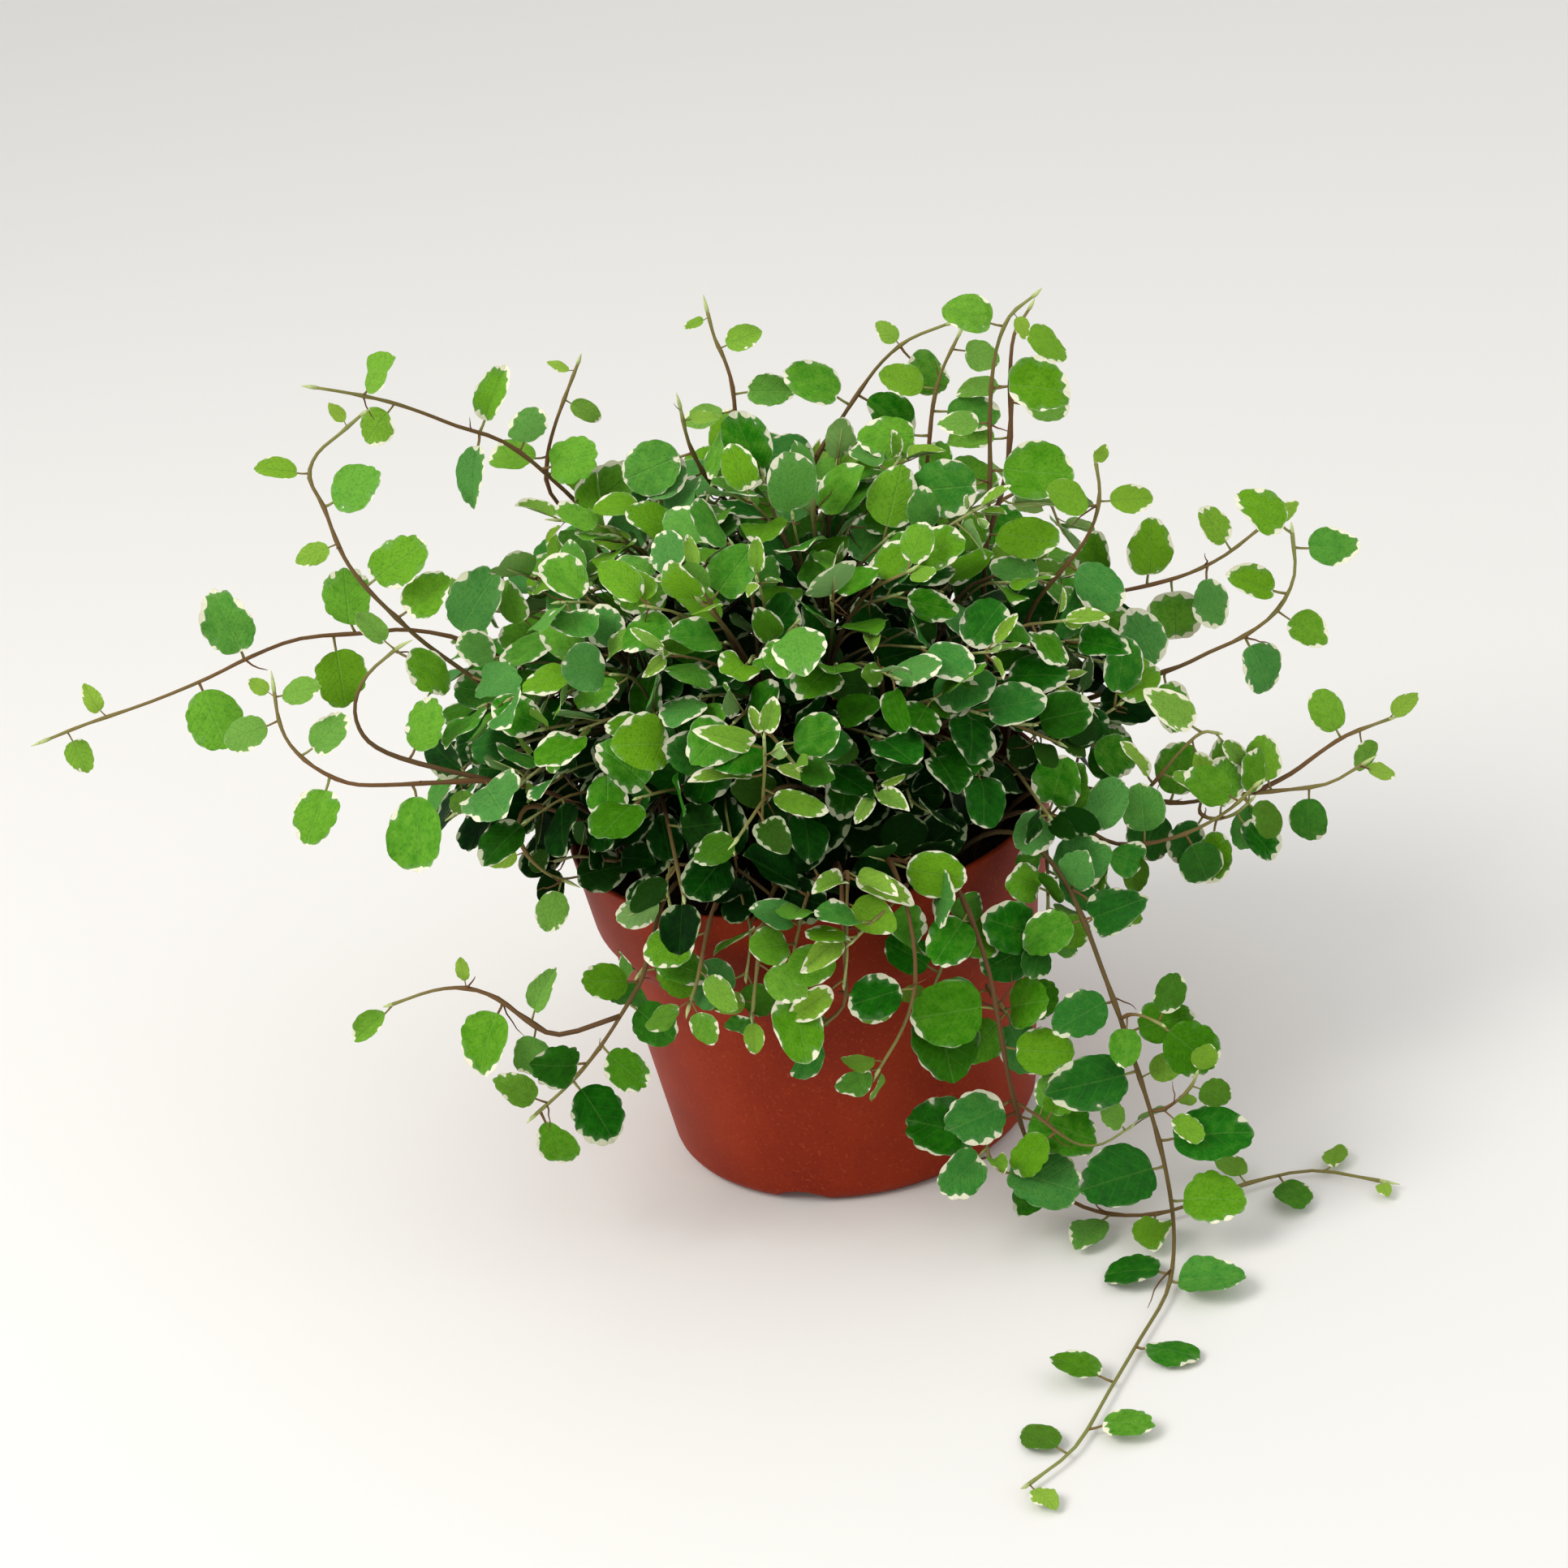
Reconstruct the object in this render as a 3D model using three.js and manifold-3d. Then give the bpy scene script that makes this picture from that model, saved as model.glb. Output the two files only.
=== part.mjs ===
// A potted creeping fig: thin woody runners with small round leaves that mound over, hang from
// and trail beside a terracotta coloured plastic nursery pot. Millimetres, +Z up. The origin is
// the middle of the pot's underside, and the side with the long trailing runner faces -Y.
import * as THREE from 'three';
import { mergeVertices } from 'three/addons/utils/BufferGeometryUtils.js';
import Module from 'manifold-3d';

const wasm = await Module();
wasm.setup();

// The pot: a tapered body under a wider collar
const RIM_RADIUS = 60;
const RIM_HEIGHT = 88;
const COLLAR_HEIGHT = 23;
const COLLAR_TAPER = 3;
const COLLAR_STEP = 2.8;
const BASE_RADIUS = 46.5;
const BASE_ROUNDING = 4;
const WALL = 1.6;
const FLOOR_THICKNESS = 5;
const POT_SIDES = 32;

// Drainage: arched grooves across the underside, each with a hole
const GROOVE_COUNT = 4;
const GROOVE_WIDTH = 14;
const GROOVE_HEIGHT = 2.6;
const GROOVE_INNER_END = 16;
const GROOVE_TURN = -112;
const GROOVE_SIDES = 20;
const DRAIN_RADIUS = 4;
const DRAIN_DISTANCE = 28;
const DRAIN_SIDES = 10;

// The soil and the plain holes that the stems stand in
const SOIL_TOP = 79;
const SEAT_GAP = 0.3;
const ROOT_DEPTH = 9;
const ROOT_RISE = 4;
const HOLE_RADIUS = 2.4;
const HOLE_SIDES = 4;

// Stems
const STEM_SIDES = 3;
const RINGS_PER_SPAN = 1.25;
const STEM_RADIUS = 1.15;
const TIP_RADIUS = 0.8;
const STEM_CLEARANCE = 0.6;
const SAMPLE_STEP = 2.5;
const ROUTE_TRIES = 60;
const ROUTE_BEND = 0.25;

// Leaves: a blade outline as pairs of [share of the length, half width as a share of the length]
const YOUNG_OUTLINE = [[0, 0.06], [0.38, 0.42], [0.94, 0.22]];
const OUTLINE = [[0, 0.05], [0.27, 0.4], [0.67, 0.44], [0.97, 0.18]];
const TOOTHED_OUTLINE = [[0, 0.05], [0.24, 0.39], [0.5, 0.46], [0.67, 0.38], [0.8, 0.36], [0.97, 0.16]];
const YOUNG_LENGTH = 11.5;
const TOOTHED_LENGTH = 16.5;
const BLADE_THICKNESS = 0.72;
const BLADE_DROOP = 0.12;
const EDGE_WAVE = 0.03;
const PETIOLE_LENGTH = 3.2;
const PETIOLE_SINK = 0.2;
const PETIOLE_SPREAD = 0.2;
const FULL_PETIOLE_LEAF = 10;

// The oval that a blade fills, as shares of its length, and the room that a leaf keeps
const OVAL_LENGTH = 0.52;
const OVAL_WIDTH = 0.44;
const BLADE_CLEARANCE = 1.5;
const EDGE_CLEARANCE = 1.2;
const POT_CLEARANCE = 0.9;
const PETIOLE_CLEARANCE = 2.6;
const OWN_STEM_REACH = 5;
const BLADE_ROWS = [0.06, 0.25, 0.43, 0.61, 0.79, 0.97];
const BLADE_COLUMNS = [-1, -0.5, 0, 0.5, 1];
const NEAR_SHARE = 0.8;
const NEAR_MARGIN = 3;

// How a leaf is turned and shrunk from one try to the next
const LEAF_TRIES = 14;
const LEAF_TURN = 0.12;
const TURN_EACH_TRY = 0.07;
const FACE_TURN = 1.3;
const SHRINK_EACH_TRY = 0.02;
const LYING_HEIGHT = 6;

// How the leaves in a row stand, as shares of the directions that they lean in, and how their
// sizes and gaps vary
const FACE_OUTWARD = 0.8;
const FACE_UPWARD = 0.5;
const LEAN_ALONG = 0.55;
const LEAN_OUTWARD = 0.25;
const TIP_LEAF_SHARE = 0.6;
const RIPE_DISTANCE = 25;
const SMALLEST_SHARE = 0.85;
const LARGEST_SHARE = 1.12;
const GAP_SPREAD = 0.15;

// The mound: leafy stems that rise from the soil and spread to a rounded crown
const MOUND_STEMS = 14;
const MOUND_CENTRE = new THREE.Vector3(0, 0, 96);
const MOUND_RADIUS = 74;
const MOUND_HEIGHT = 76;
const MOUND_GAP = 11.9;
const MOUND_LEAF = 15;
const MOUND_FIRST_LEAF = 24;
const BRANCH_FIRST_LEAF = 8;
const BRANCH_FROM = 0.35;
const BRANCH_SPREAD = 0.55;
const AIM_SPREAD = 0.15;
const LOWEST_RANK = 1.02;
const ARCH_RISE = 10;
const ARCH_MORE = 8;
const INNER_ROOT = 7;
const OUTER_ROOT = 34;
const GOLDEN_TURN = 137.508;
const SEED = 4171;

const UP = new THREE.Vector3(0, 0, 1);
const FACING = new THREE.Vector3(0, -0.66, 0.6);
const START_SIDE = new THREE.Vector3(0.8, 0.6, 0);
const DEGREE = Math.PI / 180;

// Long runners, each from its place in the soil along points chosen by hand, with the blade
// centres and lengths of the leaves that stand clear of the mound: [x, y, z, length]
const RUNNERS = [
  {
    name: 'runner_far_left',
    shoots: [{
      root: [-44, 10],
      path: [[-52, 8, 112], [-66, 6, 135], [-84, 6, 146], [-97, 4, 149], [-115, 0, 152],
        [-129, -4, 150], [-143, -8, 147], [-163, -10, 144], [-175, -12, 142]],
      leaves: [[-128, -5, 160, 15], [-137, -8, 143, 14], [-163, -11, 151, 7], [-170, -12, 138, 8],
        [-107, 0, 142, 14], [-101, 3, 158, 14], [-74, 4, 150, 17], [-60, 2, 128, 14]],
    }],
  },
  {
    name: 'runner_upper_left',
    shoots: [{
      root: [-30, 26],
      path: [[-32, 25, 120], [-36, 23, 150], [-47, 20, 172], [-58, 16, 187], [-70, 10, 196],
        [-78, 8, 202], [-88, 4, 208], [-97, 2, 212]],
      leaves: [[-85, 2, 211, 11], [-84, 8, 200, 10], [-64, 10, 187, 13], [-58, 14, 198, 13],
        [-52, 22, 186, 11], [-46, 16, 180, 13], [-36, 20, 168, 14], [-44, 18, 160, 13]],
    }],
  },
  {
    name: 'runner_left_curve',
    shoots: [{
      root: [-45, -8],
      path: [[-54, -9, 112], [-68, -10, 132], [-82, -14, 150], [-89, -16, 161], [-95, -16, 171],
        [-98, -14, 179], [-100, -10, 188], [-102, -6, 196], [-95, -4, 201], [-88, -2, 205]],
      leaves: [[-110, -7, 199, 9], [-92, -11, 190, 13], [-105, -15, 178, 8], [-88, -18, 172, 15],
        [-93, -3, 207, 5], [-83, -16, 162, 12], [-72, -14, 140, 13]],
    }],
  },
  {
    name: 'runner_left_curl',
    shoots: [{
      root: [-42, -22],
      path: [[-50, -24, 104], [-66, -27, 117], [-81, -30, 122], [-97, -34, 126], [-107, -34, 129],
        [-115, -32, 136], [-118, -30, 143], [-118, -28, 151]],
      leaves: [[-127, -30, 143, 10], [-111, -30, 152, 9], [-122, -28, 154, 5], [-106, -31, 142, 11],
        [-111, -36, 127, 13], [-91, -35, 117, 17], [-82, -28, 112, 9], [-74, -33, 120, 17]],
    }, {
      from: 0.47,
      path: [[-92, -26, 128], [-100, -21, 132], [-102, -20, 139], [-98, -22, 148], [-89, -24, 155]],
      leaves: [[-86, -25, 138, 13], [-84, -24, 149, 13], [-93, -24, 160, 9]],
    }],
  },
  {
    name: 'runner_left_rim',
    shoots: [{
      root: [-38, -30],
      path: [[-48, -31, 101], [-58, -31, 110], [-66, -31, 113], [-69, -33, 106], [-65, -36, 99],
        [-60, -38, 96]],
      leaves: [[-74, -34, 102, 7], [-64, -38, 90, 10], [-53, -38, 97, 12], [-66, -29, 119, 8],
        [-48, -30, 112, 13]],
    }],
  },
  {
    name: 'runner_lower_left',
    shoots: [{
      root: [-26, -38],
      path: [[-32, -46, 96], [-39, -54, 91], [-44, -59, 80], [-51, -59, 70], [-59, -58, 60],
        [-67, -57, 52], [-76, -56, 45]],
      leaves: [[-36, -61, 80, 12], [-50, -62, 80, 12], [-56, -60, 60, 12], [-45, -64, 70, 12],
        [-67, -60, 61, 13], [-61, -60, 48, 14], [-73, -57, 38, 13], [-78, -58, 53, 10],
        [-28, -51, 98, 13]],
    }, {
      from: 0.66,
      path: [[-69, -55, 65], [-76, -51, 71], [-84, -48, 76], [-93, -46, 77], [-105, -44, 74]],
      leaves: [[-84, -50, 67, 16], [-110, -44, 71, 10], [-86, -47, 83, 6], [-74, -53, 62, 11],
        [-70, -52, 74, 10]],
    }],
  },
  {
    name: 'sprig_top_left',
    shoots: [{
      root: [-20, 34],
      path: [[-26, 33, 115], [-38, 30, 145], [-50, 28, 168], [-48, 28, 180], [-44, 30, 188],
        [-38, 32, 198]],
      leaves: [[-37, 31, 187, 8], [-42, 32, 198, 5], [-56, 29, 178, 11], [-43, 30, 172, 12],
        [-48, 26, 155, 14], [-33, 34, 152, 14]],
    }],
  },
  {
    name: 'sprig_top_middle',
    shoots: [{
      root: [-4, 36],
      path: [[-5, 34, 120], [-6, 28, 155], [-3, 25, 176], [-2, 26, 191], [-4, 28, 198],
        [-5, 30, 206]],
      leaves: [[2, 27, 199, 8], [2, 24, 187, 11], [-8, 25, 182, 9], [-7, 29, 205, 5],
        [4, 26, 172, 14], [-13, 28, 166, 14]],
    }, {
      from: 0.62,
      path: [[-10, 18, 166], [-14, 12, 178], [-15, 10, 190]],
      leaves: [[-20, 11, 177, 14], [-12, 10, 187, 6], [-7, 12, 172, 12]],
    }],
  },
  {
    name: 'sprig_top_right',
    shoots: [{
      root: [12, 32],
      path: [[12, 28, 120], [12, 20, 155], [15, 18, 169], [23, 20, 178], [31, 20, 187],
        [39, 16, 195], [50, 10, 200]],
      leaves: [[42, 17, 190, 12], [32, 20, 179, 14], [20, 20, 186, 14], [36, 17, 199, 6],
        [8, 18, 177, 16], [22, 16, 168, 15], [4, 22, 160, 15]],
    }],
  },
  {
    name: 'sprig_tall',
    shoots: [{
      root: [44, 2],
      path: [[46, 0, 110], [50, -3, 140], [54, -4, 163], [56, -4, 179], [58, -6, 192],
        [62, -6, 203], [69, -8, 209]],
      leaves: [[54, -6, 206, 11], [68, -5, 186, 15], [50, -5, 180, 9], [66, -6, 167, 16],
        [46, -4, 165, 15], [66, -8, 203, 5], [61, -8, 151, 15], [43, -6, 150, 14],
        [58, -4, 134, 15]],
    }, {
      from: 0.55,
      path: [[60, 4, 166], [63, 11, 180], [65, 13, 192], [70, 14, 199]],
      leaves: [[73, 12, 191, 11], [70, 10, 177, 10], [57, 10, 184, 9], [54, 8, 172, 11]],
    }],
  },
  {
    name: 'sprig_upright',
    shoots: [{
      root: [30, 16],
      path: [[33, 15, 120], [38, 12, 145], [40, 10, 161], [43, 10, 175], [46, 10, 186],
        [52, 8, 197]],
      leaves: [[56, 9, 192, 9], [40, 10, 186, 10], [51, 9, 178, 12], [34, 10, 176, 13],
        [33, 10, 160, 13], [47, 8, 162, 14]],
    }],
  },
  {
    name: 'sprig_right',
    shoots: [{
      root: [47, -10],
      path: [[51, -10, 105], [57, -10, 128], [66, -12, 141], [74, -14, 150], [78, -16, 160],
        [78, -18, 170]],
      leaves: [[83, -16, 159, 10], [71, -15, 160, 12], [79, -19, 173, 5], [71, -14, 143, 13],
        [62, -13, 142, 13], [66, -10, 128, 14]],
    }],
  },
  {
    name: 'runner_right',
    shoots: [{
      root: [50, 12],
      path: [[57, 8, 96], [68, -2, 103], [79, -9, 109], [93, -14, 114], [102, -16, 118],
        [113, -18, 123], [121, -18, 132], [122, -18, 145]],
      leaves: [[130, -18, 141, 12], [117, -19, 151, 13], [112, -20, 134, 13], [122, -19, 122, 10],
        [111, -17, 114, 13], [91, -14, 104, 13], [86, -12, 119, 14], [74, -6, 98, 12]],
    }],
  },
  {
    name: 'runner_right_back',
    shoots: [{
      root: [44, 22],
      path: [[52, 16, 108], [62, 6, 122], [72, 2, 128], [83, 2, 129], [95, 4, 129],
        [107, 6, 131], [119, 6, 138]],
      leaves: [[90, 2, 138, 14], [96, 4, 120, 16], [107, 5, 122, 13], [108, 6, 140, 10],
        [79, 1, 120, 13], [77, 2, 138, 12], [126, 6, 142, 8], [63, 5, 132, 13]],
    }],
  },
  {
    name: 'runner_lower_right',
    shoots: [{
      root: [44, -22],
      path: [[54, -26, 94], [66, -27, 92], [78, -26, 87], [90, -27, 84], [102, -28, 85],
        [120, -28, 83], [132, -28, 87]],
      leaves: [[119, -28, 76, 12], [110, -28, 91, 12], [104, -29, 78, 12], [98, -28, 94, 11],
        [88, -27, 93, 14], [82, -26, 78, 13], [137, -28, 84, 7], [72, -26, 100, 13]],
    }, {
      from: 0.75,
      path: [[118, -26, 88], [127, -23, 92], [141, -20, 94]],
      leaves: [[127, -24, 99, 11], [134, -21, 86, 9], [145, -20, 97, 7]],
    }],
  },
  {
    name: 'runner_low_right',
    shoots: [{
      root: [37, -31],
      path: [[48, -38, 95], [60, -42, 91], [70, -42, 84], [83, -42, 83], [95, -44, 88],
        [103, -46, 95]],
      leaves: [[89, -42, 75, 12], [104, -45, 88, 10], [94, -44, 97, 11], [78, -42, 92, 12],
        [73, -42, 75, 10], [60, -44, 101, 13], [61, -43, 80, 12]],
    }],
  },
  {
    name: 'runner_trailing',
    shoots: [{
      root: [30, -38],
      path: [[41, -45, 94], [51, -53, 92], [57, -62, 80], [60, -68, 68], [63, -75, 54],
        [65, -80, 42], [67, -85, 29], [68, -88, 13], [66, -97, 4], [60, -113, 2],
        [48, -132, 2], [36, -155, 2], [22, -168, 2]],
      leaves: [[63, -68, 80, 14], [50, -64, 75, 12], [56, -74, 60, 13], [73, -77, 55, 13],
        [76, -80, 45, 9], [55, -83, 44, 18], [78, -88, 30, 17], [58, -89, 23, 18],
        [78, -91, 14, 14], [55, -98, 4, 13], [72, -108, 4, 15], [61, -131, 3, 12],
        [38, -133, 3, 12], [43, -154, 3, 11], [26, -153, 3, 10], [26, -174, 3, 7]],
    }],
  },
  {
    name: 'runner_floor_right',
    shoots: [{
      root: [20, -42],
      path: [[25, -51, 94], [30, -61, 90], [34, -68, 74], [35, -70, 56], [36, -69, 37],
        [39, -66, 18], [45, -66, 5], [55, -74, 3], [68, -77, 3], [81, -73, 3], [101, -67, 2],
        [119, -77, 2]],
      leaves: [[44, -72, 31, 16], [27, -71, 62, 17], [34, -76, 8, 12], [27, -72, 34, 14],
        [48, -82, 4, 11], [64, -84, 4, 12], [87, -66, 4, 9], [98, -76, 4, 11],
        [111, -66, 3, 9], [119, -84, 3, 5], [42, -72, 50, 14], [26, -69, 84, 14]],
    }],
  },
];

// Short stems that hang over the front and back of the rim, with their leaves placed by rule
const HANGING = [
  {
    name: 'hanging_front_1',
    root: [-17, -43],
    path: [[-22, -53, 95], [-27, -62, 92], [-31, -66, 82], [-35, -66, 73]],
  },
  {
    name: 'hanging_front_2',
    root: [-8, -45],
    path: [[-10, -56, 96], [-14, -66, 93], [-18, -70, 82], [-21, -68, 69]],
  },
  {
    name: 'hanging_front_3',
    root: [1, -43],
    path: [[4, -55, 98], [4, -66, 96], [2, -72, 85], [1, -70, 70], [-7, -69, 63]],
  },
  {
    name: 'hanging_front_4',
    root: [10, -44],
    path: [[13, -56, 100], [17, -67, 97], [18, -74, 80], [14, -74, 65], [6, -71, 51]],
  },
  {
    name: 'hanging_back_left',
    root: [-30, 40],
    path: [[-38, 50, 104], [-48, 64, 114], [-58, 80, 112], [-66, 94, 104], [-80, 104, 102]],
  },
  {
    name: 'hanging_back',
    root: [4, 46],
    path: [[4, 56, 100], [3, 68, 97], [6, 75, 82], [10, 75, 62], [4, 73, 44]],
  },
  {
    name: 'hanging_back_right',
    root: [34, 36],
    path: [[42, 48, 110], [54, 62, 126], [66, 76, 130], [76, 90, 122], [80, 102, 110]],
  },
];
const HANGING_LEAF = 13;
const HANGING_GAP = 10.5;
const HANGING_FIRST_LEAF = 22;

const materials = {
  pot: new THREE.MeshStandardMaterial({ color: '#a34f3b', roughness: 0.62, metalness: 0 }),
  soil: new THREE.MeshStandardMaterial({ color: '#2a2019', roughness: 0.95, metalness: 0 }),
  foliage: new THREE.MeshStandardMaterial({ color: '#4d9a45', roughness: 0.55, metalness: 0 }),
};

let state = SEED;
function draw(low, high) {
  state = (state * 1664525 + 1013904223) % 4294967296;
  return low + ((high - low) * state) / 4294967296;
}

function drawVector(size) {
  const x = draw(-size, size);
  const y = draw(-size, size);
  const z = draw(-size, size);
  return new THREE.Vector3(x, y, z);
}

// A closed geometry as a solid that can be joined and cut
function solid(geometry) {
  const bare = geometry.clone();
  bare.deleteAttribute('normal');
  bare.deleteAttribute('uv');
  const merged = mergeVertices(bare, 1e-4);
  const triangles = [];
  for (let i = 0; i < merged.index.count; i += 3) {
    const [a, b, c] = [0, 1, 2].map((k) => merged.index.getX(i + k));
    if (a !== b && b !== c && c !== a) triangles.push(a, b, c);
  }
  return new wasm.Manifold(new wasm.Mesh({
    numProp: 3,
    vertProperties: new Float32Array(merged.attributes.position.array),
    triVerts: new Uint32Array(triangles),
  }));
}

function meshOf(name, body, material) {
  const made = body.getMesh();
  const geometry = new THREE.BufferGeometry();
  geometry.setAttribute('position', new THREE.BufferAttribute(made.vertProperties, 3));
  geometry.setIndex(new THREE.BufferAttribute(made.triVerts, 1));
  geometry.computeVertexNormals();
  const mesh = new THREE.Mesh(geometry, material);
  mesh.name = name;
  return mesh;
}

// A profile of [radius, height] pairs turned round the Z axis
function turned(profile) {
  const points = profile.map(([radius, height]) => new THREE.Vector2(radius, height));
  return solid(new THREE.LatheGeometry(points, POT_SIDES).rotateX(Math.PI / 2));
}

// The inside of the pot, and with a gap the outside of what fills it
const COLLAR_FOOT = RIM_HEIGHT - COLLAR_HEIGHT;
const BODY_TOP_RADIUS = RIM_RADIUS - COLLAR_TAPER - COLLAR_STEP;

function cavityProfile(gap, top) {
  const inset = WALL + gap;
  const share = (top - COLLAR_FOOT) / COLLAR_HEIGHT;
  return [
    [0, FLOOR_THICKNESS + gap],
    [BASE_RADIUS - inset, FLOOR_THICKNESS + gap],
    [BODY_TOP_RADIUS - inset, COLLAR_FOOT - COLLAR_STEP],
    [RIM_RADIUS - COLLAR_TAPER - inset, COLLAR_FOOT + COLLAR_STEP / 2],
    [RIM_RADIUS - COLLAR_TAPER * (1 - share) - inset, top],
    [0, top],
  ];
}

function makePot() {
  const outside = [
    [0, 0],
    [BASE_RADIUS - BASE_ROUNDING, 0],
    [BASE_RADIUS - BASE_ROUNDING * 0.4, BASE_ROUNDING * 0.3],
    [BASE_RADIUS, BASE_ROUNDING],
    [BODY_TOP_RADIUS, COLLAR_FOOT - COLLAR_STEP * 1.6],
    [BODY_TOP_RADIUS + COLLAR_STEP * 0.4, COLLAR_FOOT - COLLAR_STEP * 0.6],
    [RIM_RADIUS - COLLAR_TAPER - 0.3, COLLAR_FOOT + 0.6],
    [RIM_RADIUS - COLLAR_TAPER + 0.3, COLLAR_FOOT + COLLAR_STEP],
    [RIM_RADIUS, RIM_HEIGHT],
    [0, RIM_HEIGHT],
  ];
  let pot = turned(outside).subtract(turned(cavityProfile(0, RIM_HEIGHT + 1)));
  const arch = (GROOVE_WIDTH ** 2 / 4 + GROOVE_HEIGHT ** 2) / (2 * GROOVE_HEIGHT);
  const grooveLength = RIM_RADIUS - GROOVE_INNER_END;
  for (let i = 0; i < GROOVE_COUNT; i += 1) {
    const turn = DEGREE * (GROOVE_TURN + (i * 360) / GROOVE_COUNT);
    const groove = new THREE.CylinderGeometry(arch, arch, grooveLength, GROOVE_SIDES)
      .rotateZ(Math.PI / 2)
      .translate(GROOVE_INNER_END + grooveLength / 2, 0, GROOVE_HEIGHT - arch)
      .rotateZ(turn);
    const through = FLOOR_THICKNESS * 3;
    const drain = new THREE.CylinderGeometry(DRAIN_RADIUS, DRAIN_RADIUS, through, DRAIN_SIDES)
      .rotateX(Math.PI / 2)
      .translate(DRAIN_DISTANCE, 0, FLOOR_THICKNESS)
      .rotateZ(turn);
    pot = pot.subtract(solid(groove)).subtract(solid(drain));
  }
  return pot;
}

function makeSoil(roots) {
  let soil = turned(cavityProfile(SEAT_GAP, SOIL_TOP));
  for (const [x, y] of roots) {
    const depth = ROOT_DEPTH + SEAT_GAP;
    const hole = new THREE.CylinderGeometry(HOLE_RADIUS, HOLE_RADIUS, depth * 2, HOLE_SIDES)
      .rotateX(Math.PI / 2)
      .translate(x, y, SOIL_TOP);
    soil = soil.subtract(solid(hole));
  }
  return soil;
}

// True where a point stays off the floor, the soil and the pot by the given distance
function clearOfPot(point, distance) {
  const radius = Math.hypot(point.x, point.y);
  if (point.z < distance) return false;
  if (point.z > RIM_HEIGHT + distance) return true;
  const outside = point.z > COLLAR_FOOT - COLLAR_STEP * 2 ? RIM_RADIUS : BODY_TOP_RADIUS + 1;
  if (radius > outside + distance) return true;
  return point.z > SOIL_TOP + distance && radius < RIM_RADIUS - COLLAR_TAPER / 2 - WALL - distance;
}

// A stem's middle line as a chain of straight pieces, and a place along it
function chain(points) {
  const steps = Math.round((points.length - 1) * RINGS_PER_SPAN);
  return new THREE.CatmullRomCurve3(points, false, 'catmullrom', 0.5).getPoints(steps);
}

function lengthOf(line) {
  let total = 0;
  for (let i = 1; i < line.length; i += 1) total += line[i].distanceTo(line[i - 1]);
  return total;
}

function placeAt(line, distance) {
  let left = distance;
  for (let i = 1; i < line.length; i += 1) {
    const piece = line[i].distanceTo(line[i - 1]);
    if (left <= piece || i === line.length - 1) {
      const share = Math.min(left / piece, 1);
      const direction = line[i].clone().sub(line[i - 1]).divideScalar(piece);
      return { point: line[i - 1].clone().lerp(line[i], share), direction };
    }
    left -= piece;
  }
  return null;
}

// Points along a stem, with its radius there, for the tests of what it passes
function samplesOf(line, owner) {
  const total = lengthOf(line);
  const count = Math.ceil(total / SAMPLE_STEP);
  const samples = [];
  for (let i = 0; i <= count; i += 1) {
    const share = i / count;
    const radius = STEM_RADIUS + (TIP_RADIUS - STEM_RADIUS) * share;
    samples.push({ point: placeAt(line, total * share).point, radius, owner });
  }
  return samples;
}

const stemSamples = [];
const leafSamples = [];
const blades = [];

function stemIsClear(line, owner) {
  const own = samplesOf(line, owner);
  for (const mine of own) {
    const rooted = mine.point.z < SOIL_TOP + ROOT_RISE && Math.hypot(mine.point.x, mine.point.y) < RIM_RADIUS;
    if (!rooted && !clearOfPot(mine.point, mine.radius + SEAT_GAP)) return false;
    for (const other of stemSamples) {
      const reach = mine.radius + other.radius + STEM_CLEARANCE;
      if (other.owner !== owner && mine.point.distanceTo(other.point) < reach) return false;
    }
  }
  return true;
}

// A stem's line through its points, bent a little more at each try until it passes clear. It
// stands upright in its hole, from the first point to the second, before it bends away.
function routeStem(start, path, owner) {
  let line = null;
  for (let attempt = 0; attempt < ROUTE_TRIES; attempt += 1) {
    const bend = attempt * ROUTE_BEND;
    const free = path.map(([x, y, z]) => new THREE.Vector3(x, y, z).add(drawVector(bend)));
    line = [...start.slice(0, -1), ...chain([start[start.length - 1], ...free])];
    if (stemIsClear(line, owner)) break;
  }
  stemSamples.push(...samplesOf(line, owner));
  return line;
}

function rootPoints([x, y]) {
  return [SOIL_TOP - ROOT_DEPTH, SOIL_TOP + ROOT_RISE].map((z) => new THREE.Vector3(x, y, z));
}

// A leaf: its foot on the stem's middle line, and the blade's own length, side and face
// directions at its heel
function makeLeaf(foot, axis, face, long, petiole, owner) {
  const forward = axis.clone().normalize();
  const normal = face.clone().addScaledVector(forward, -face.dot(forward)).normalize();
  const side = normal.clone().cross(forward);
  const heel = foot.clone().addScaledVector(forward, petiole);
  return { foot, heel, forward, normal, side, long, owner };
}

function bladePoint(leaf, share, across, lift) {
  const drop = -BLADE_DROOP * leaf.long * share * share;
  return leaf.heel.clone()
    .addScaledVector(leaf.forward, leaf.long * share)
    .addScaledVector(leaf.side, leaf.long * across)
    .addScaledVector(leaf.normal, drop + lift);
}

function halfWidth(share) {
  const out = (share - 0.5) / OVAL_LENGTH;
  return OVAL_WIDTH * Math.sqrt(Math.max(0, 1 - out * out));
}

function samplesOfLeaf(leaf) {
  const samples = [];
  for (const share of BLADE_ROWS) {
    const half = halfWidth(share);
    for (const across of BLADE_COLUMNS) {
      samples.push({ point: bladePoint(leaf, share, half * across, 0), radius: 0, owner: leaf.owner });
    }
  }
  for (const share of [0.5, 1]) {
    samples.push({ point: leaf.foot.clone().lerp(leaf.heel, share), radius: 0.5, owner: leaf.owner });
  }
  return samples;
}

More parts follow.
